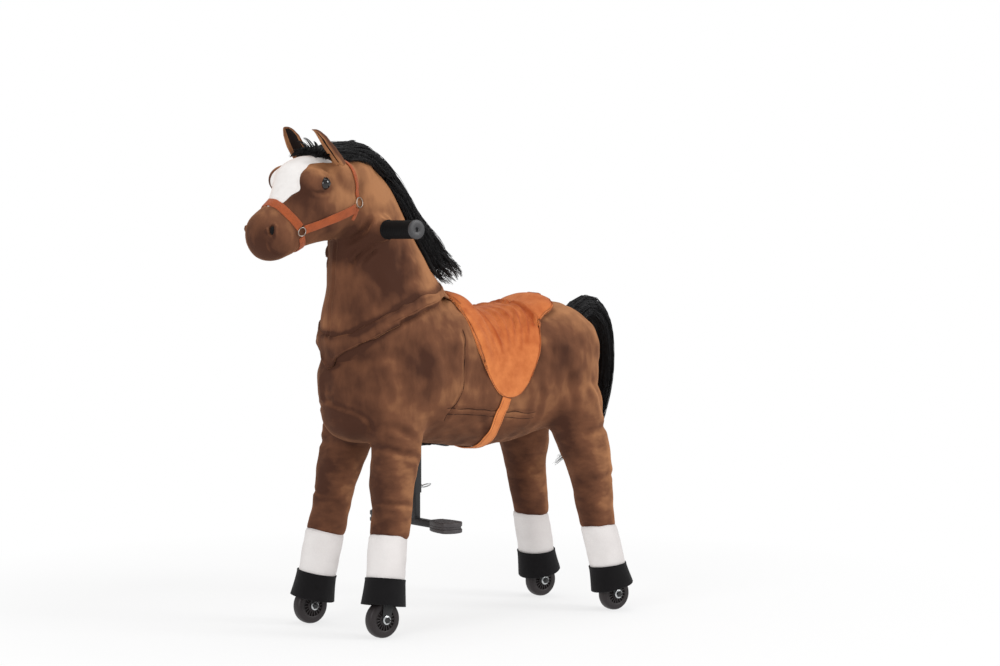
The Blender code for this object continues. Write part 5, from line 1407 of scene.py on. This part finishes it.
SADDLE_EDGE = [  # lower edge from front to back: y, z
    (0.0000, 0.575), (0.0025, 0.553), (0.0080, 0.520), (0.0170, 0.490), (0.0265, 0.4615),
    (0.0400, 0.4370), (0.0545, 0.4180), (0.0700, 0.4085), (0.0860, 0.4065), (0.1000, 0.4095),
    (0.1114, 0.4160), (0.1260, 0.4340), (0.1360, 0.4545), (0.1500, 0.4820), (0.1600, 0.5080),
    (0.1700, 0.5345), (0.1880, 0.5470), (0.2080, 0.5575), (0.2230, 0.5665), (0.2340, 0.5745),
]
SADDLE_TOP, SADDLE_UNDER = 0.0052, 0.0016  # heights of its two faces over the torso
torso_run = through(TORSO_ROWS, 12)


def over_torso(y, turn, off):
    """Point off the torso; turn is 90 degrees on top and 0 at the left side."""
    low, high, half = (np.interp(y, torso_run[:, 0], torso_run[:, k]) for k in (1, 2, 3))
    a, b = math.cos(turn), math.sin(turn)
    a, b = (math.copysign(abs(s) ** (2 / TORSO_POWER), s) for s in (a, b))
    return np.array([(half + off) * a, y, (low + high) / 2 + ((high - low) / 2 + off) * b])


edge_run = through(SADDLE_EDGE, 6)
rows, columns = 112, 176
stations = np.linspace(SADDLE_EDGE[0][0], SADDLE_EDGE[-1][0], rows)
top, under = [], []
for y in stations:
    roll = 0.006 * math.exp(-(((y - 0.030) / 0.018) ** 2))
    cantle = 0.010 * math.exp(-(((y - 0.216) / 0.022) ** 2))
    stuffed = cantle + roll
    quarter = np.linspace(0, math.pi / 2, 90)
    heights = [over_torso(y, t, SADDLE_TOP + stuffed * math.sin(t) ** 2)[2] for t in quarter]
    low_down = [over_torso(y, -t, SADDLE_TOP)[2] for t in quarter[:0:-1]]
    first = np.interp(np.interp(y, *edge_run.T), low_down + heights, [*-quarter[:0:-1], *quarter])
    turns = np.linspace(first, math.pi - first, columns)
    top.append([over_torso(y, t, SADDLE_TOP + stuffed * math.sin(t) ** 2) for t in turns])
    under.append([over_torso(y, t, SADDLE_UNDER + stuffed * math.sin(t) ** 2) for t in turns])
top, under = np.array(top), np.array(under)
cells = rows * columns
saddle_points = np.vstack([top.reshape(-1, 3), under.reshape(-1, 3)])
quads = []
for i in range(rows - 1):
    for j in range(columns - 1):
        a = i * columns + j
        quads.append((a, a + 1, a + columns + 1, a + columns))
        quads.append((a + cells, a + columns + cells, a + columns + 1 + cells, a + 1 + cells))
rim = list(range(columns)) + [i * columns + columns - 1 for i in range(1, rows)]
rim += [(rows - 1) * columns + j for j in range(columns - 2, -1, -1)]
rim += [i * columns for i in range(rows - 2, 0, -1)]
for a, b in zip(rim, rim[1:] + rim[:1]):
    quads.append((a, a + cells, b + cells, b))
quads = np.array(quads)
normals = outward(saddle_points, quads)
normals[cells:] = -normals[cells:]
# Creases, as points on the left side: the seam at the foot of the cantle and the gathers
# that run from it down over the front panel
CANTLE_SEAM = [(-0.0034, 0.1653, 0.567), (0.0231, 0.1721, 0.566), (0.0519, 0.1699, 0.559)]
CANTLE_SEAM += [(0.0748, 0.1678, 0.548), (0.0894, 0.1676, 0.536)]
GATHERS = [  # points of a gather's line, its depth and width in mm
    ([(0.0785, 0.0066, 0.569), (0.0993, 0.0170, 0.533), (0.1117, 0.0300, 0.494),
      (0.1147, 0.0400, 0.457)], 2.5, 7.0),
    ([(0.0300, 0.0560, 0.568), (0.0739, 0.0561, 0.553), (0.1005, 0.0625, 0.524),
      (0.1137, 0.0681, 0.491)], 3.75, 5.0),
    ([(0.0117, 0.0982, 0.562), (0.0523, 0.0960, 0.554), (0.0831, 0.0922, 0.535),
      (0.1112, 0.0837, 0.493)], 4.5, 4.2),
    ([(0.0067, 0.1204, 0.562), (0.0467, 0.1210, 0.556), (0.0782, 0.1144, 0.539),
      (0.1079, 0.0978, 0.501)], 4.0, 3.6),
    ([(0.0028, 0.1420, 0.564), (0.0457, 0.1425, 0.558), (0.0807, 0.1285, 0.538),
      (0.1115, 0.1109, 0.495)], 4.25, 3.6),
    ([(0.0061, 0.1580, 0.566), (0.0483, 0.1589, 0.559), (0.0836, 0.1446, 0.537),
      (0.1086, 0.1270, 0.504)], 3.25, 3.2),
    ([(0.0265, 0.1670, 0.565), (0.0673, 0.1645, 0.551), (0.0928, 0.1534, 0.530)], 2.25, 3.0),
]
saddle_points = creased(saddle_points, normals, [(CANTLE_SEAM, 4.8, 3.0)], lip=0.7, fade=0)
saddle_points = creased(saddle_points, normals, GATHERS, lip=0.6, fade=0.35)
saddle_points = lumps(saddle_points, normals, size=0.030, height=0.0014)
least = [0.0026] * cells + [0.0008] * cells
saddle_points = clear_of((under_tree,), saddle_points, least)
# Painted shade in the gathers and along the cantle seam
for gather, _, _ in GATHERS:
    PAINTED_SHADING_AND_PILE_MARKS += [(spot, 0.0045, -0.24) for spot in through(gather, 10)]
PAINTED_SHADING_AND_PILE_MARKS += [(spot, 0.0040, -0.30) for spot in through(CANTLE_SEAM, 8)]

# The hem: a raised bead round the whole edge and a sunk lane for the stitching
HEM = 0.0070
grid = saddle_points[:cells].reshape(rows, columns, 3).copy()
grid_out = normals[:cells].reshape(rows, columns, 3)
lanes = []
edges = [(grid[:, 0], grid_out[:, 0]), (grid[:, -1], grid_out[:, -1])]
edges += [(grid[0], grid_out[0]), (grid[-1], grid_out[-1])]
for edge, ways in edges:
    inward = unit(np.cross(np.gradient(edge, axis=0), ways))
    if (inward * (grid[rows // 2, columns // 2] - edge)).sum() < 0:
        inward = -inward
    lane = edge + inward * HEM
    lanes.append(lane[4:-4])
    # painted shade along the sunk stitch lane
    PAINTED_SHADING_AND_PILE_MARKS += [(spot, 0.0022, -0.40) for spot in lane[::2] if spot[0] > 0]
    saddle_points = crease(saddle_points, normals, edge[::6], -0.0022, 0.0034, 0, 0)
    saddle_points = crease(saddle_points, normals, lane[4:-4:4], 0.0018, 0.0018, 0.4, 0)

# Microfibre: orange suede-like cloth over cloudy tone, with painted sheen where it faces up and
# back and painted shade in the gathers, the cantle seam and the stitch lanes.
microfibre = new_look("orange_microfibre")
place = add(microfibre, "Attribute", {"attribute_name": "rest_place"}).outputs["Vector"]
painted_sheen_and_shade = add(microfibre, "Attribute", {"attribute_name": "nap_and_painted_shading"}).outputs["Fac"]
clouds = add(microfibre, "TexNoise", inputs={
    "Vector": place, "Scale": 45.0, "Detail": 5.0, "Roughness": 0.6,
})
fibre = add(microfibre, "TexNoise", inputs={"Vector": place, "Scale": 1500.0, "Detail": 2.0})
# painted sheen and shade mixed over the cloudy tone
brushed = add(microfibre, "Math", {"operation": "MULTIPLY_ADD"}, {0: painted_sheen_and_shade, 1: 0.8, 2: clouds})
spread = add(microfibre, "MapRange", inputs={
    "Value": brushed, "From Min": 0.35, "From Max": 1.55,
})
microfibre_tone = add(microfibre, "MixRGB", inputs={
    "Fac": spread, "Color1": colour("#a04719"), "Color2": colour("#ea9254"),
})
fibre_bump = add(microfibre, "Bump", inputs={"Height": fibre, "Distance": 0.0003})
shader = add(microfibre, "BsdfPrincipled", inputs={
    "Base Color": microfibre_tone, "Roughness": 0.8, "Specular IOR Level": 0.2,
    "Sheen Weight": 0.2, "Sheen Tint": colour("#ffc9a0"), "Normal": fibre_bump,
})
add(microfibre, "OutputMaterial", inputs={"Surface": shader})
saddle = piece("saddle_cloth_cover", [(saddle_points, quads)], microfibre, "frame")
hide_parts("saddle_cloth")

# Thread: orange twist of 1.2 mm, in 3.4 mm stitches 7 mm inside the edge.
thread = hard_look("stitch_thread", "#8f4a24", "#a55a30", 0.001, 0.6, 0.0001)
STITCH_PITCH = 0.005


def stitched(tree, lane):
    """Stitches along a lane on a skin, as rows of thread."""
    travel = np.concatenate([[0], np.cumsum(np.linalg.norm(np.diff(lane, axis=0), axis=1))])
    stitches = []
    for start in np.arange(0.001, travel[-1] - 0.004, STITCH_PITCH):
        spots = start + np.array([0, 0.0006, 0.0017, 0.0028, 0.0034])
        path = np.column_stack([np.interp(spots, travel, lane[:, k]) for k in range(3)])
        path, ways = np.array([on_skin(tree, p) for p in path]).swapaxes(0, 1)
        path = path + ways * np.array([-0.0003, 0.0002, 0.0004, 0.0002, -0.0003])[:, None]
        stitches.append(skin(sweep(path, circle(0.0006, 6), ways)))
    return stitches


upper_quads = quads[(quads < cells).all(1)].tolist()
saddle_tree = BVHTree.FromPolygons(saddle_points[:cells].tolist(), upper_quads)
thread_rows = []
for lane in lanes:
    thread_rows += stitched(saddle_tree, lane)
topstitch = piece("saddle_topstitch", thread_rows, thread, "frame")

# ---- Girth ---------------------------------------------------------------------------
# A folded strap of the same microfibre, stitched along both edges, runs from one flap
# under the belly to the other.

half_girth = [(0.1147, 0.0755, 0.4085), (0.1130, 0.0700, 0.3890), (0.1081, 0.0656, 0.3771)]
half_girth += [(0.0914, 0.0650, 0.3523), (0.0721, 0.0665, 0.3327), (0.0454, 0.0710, 0.3194)]
half_girth += [(0.0, 0.0760, 0.3120)]
spots, ways = laid_on(body_tree, over_middle(half_girth))
spots = spots + ways * 0.0010
belt = skin(sweep(spots, strap_section(half=0.0100, thick=0.0026), ways))
girth = piece("girth_belt", [belt], microfibre, "frame", 50)
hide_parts("girth_strap")
across = unit(np.cross(np.gradient(spots, axis=0), ways))
belt_tree = BVHTree.FromPolygons(belt[0].tolist(), belt[1])
belt_rows = []
for edge in (-0.0072, 0.0072):
    belt_rows += stitched(belt_tree, (spots + ways * 0.0015 + across * edge)[2:-2])
belt_stitch = piece("girth_topstitch", belt_rows, thread, "frame")

# ---- Studio --------------------------------------------------------------------------
# A white paper sweep, three soft boxes and the camera, set as in the photograph. Made for
# the picture only: none of it belongs to the horse.

floor_look = new_look("floor_paper")
floor_place = add(floor_look, "TexCoord").outputs["Object"]
paper = add(floor_look, "TexNoise", inputs={"Vector": floor_place, "Scale": 400.0})
paper_tone = add(floor_look, "MixRGB", inputs={
    "Fac": paper, "Color1": colour("#f0f0f0"), "Color2": colour("#f4f4f4"),
})
shader = add(floor_look, "BsdfPrincipled", inputs={
    "Base Color": paper_tone, "Roughness": 0.9, "Specular IOR Level": 0.1,
})
shrunk = add(floor_look, "Mapping", inputs={"Vector": floor_place, "Scale": (0.8, 0.8, 0.8)})
away = add(floor_look, "TexGradient", {"gradient_type": "SPHERICAL"}, {"Vector": shrunk})
fading = add(floor_look, "ValToRGB", inputs={"Fac": away.outputs["Fac"]})
fading.color_ramp.elements[0].position = 0.05
fading.color_ramp.elements[1].position = 0.45
fading.color_ramp.elements[1].color = (0.28, 0.28, 0.28, 1)
glow = add(floor_look, "Emission", inputs={"Color": (1, 1, 1, 1), "Strength": 1.0})
paper_mix = add(floor_look, "MixShader", inputs={0: fading, 1: glow, 2: shader})
add(floor_look, "OutputMaterial", inputs={"Surface": paper_mix})
bpy.ops.mesh.primitive_plane_add(size=30, location=(0, 0, -0.0005))
floor = bpy.context.object
floor.name = "studio_floor"
floor.data.materials.append(floor_look)

world = bpy.data.worlds.new("studio_air")
bpy.context.scene.world = world
world.use_nodes = True
world.node_tree.nodes.clear()
seen = add(world, "LightPath")
lit = add(world, "Background", inputs={"Color": (1, 1, 1, 1), "Strength": 0.56})
white = add(world, "Background", inputs={"Color": (1, 1, 1, 1), "Strength": 1.0})
sky = add(world, "MixShader", inputs={0: seen.outputs["Is Camera Ray"], 1: lit, 2: white})
add(world, "OutputWorld", inputs={"Surface": sky})


def lamp(name, place, aim, size, power):
    """Square soft box aimed at a point."""
    light = bpy.data.lights.new(name, "AREA")
    light.size = size
    light.energy = power
    box = bpy.data.objects.new(name, light)
    box.location = place
    box.rotation_euler = (Vector(aim) - Vector(place)).to_track_quat("-Z", "Y").to_euler()
    bpy.context.scene.collection.objects.link(box)


lamp("key_soft_box", (3.6, 2.6, 2.4), (0, 0.05, 0.45), size=1.6, power=95)
lamp("front_soft_box", (1.4, -3.4, 1.6), (0, 0.05, 0.45), size=1.8, power=54)
lamp("top_soft_box", (0.0, 0.3, 3.4), (0, 0.05, 0.4), size=2.0, power=30)

camera = bpy.data.objects.new("photo_camera", bpy.data.cameras.new("photo_camera"))
camera.data.sensor_width = 36.0
camera.data.lens = 205.2
camera.data.clip_end = 100.0
camera.location = (8.05475774, -6.2155283, 1.60074906)
look_way = Vector((-0.78013342, 0.61662988, -0.10563825))
camera.rotation_euler = look_way.to_track_quat("-Z", "Y").to_euler()
bpy.context.scene.collection.objects.link(camera)
bpy.context.scene.camera = camera
bpy.context.scene.view_settings.view_transform = "Standard"
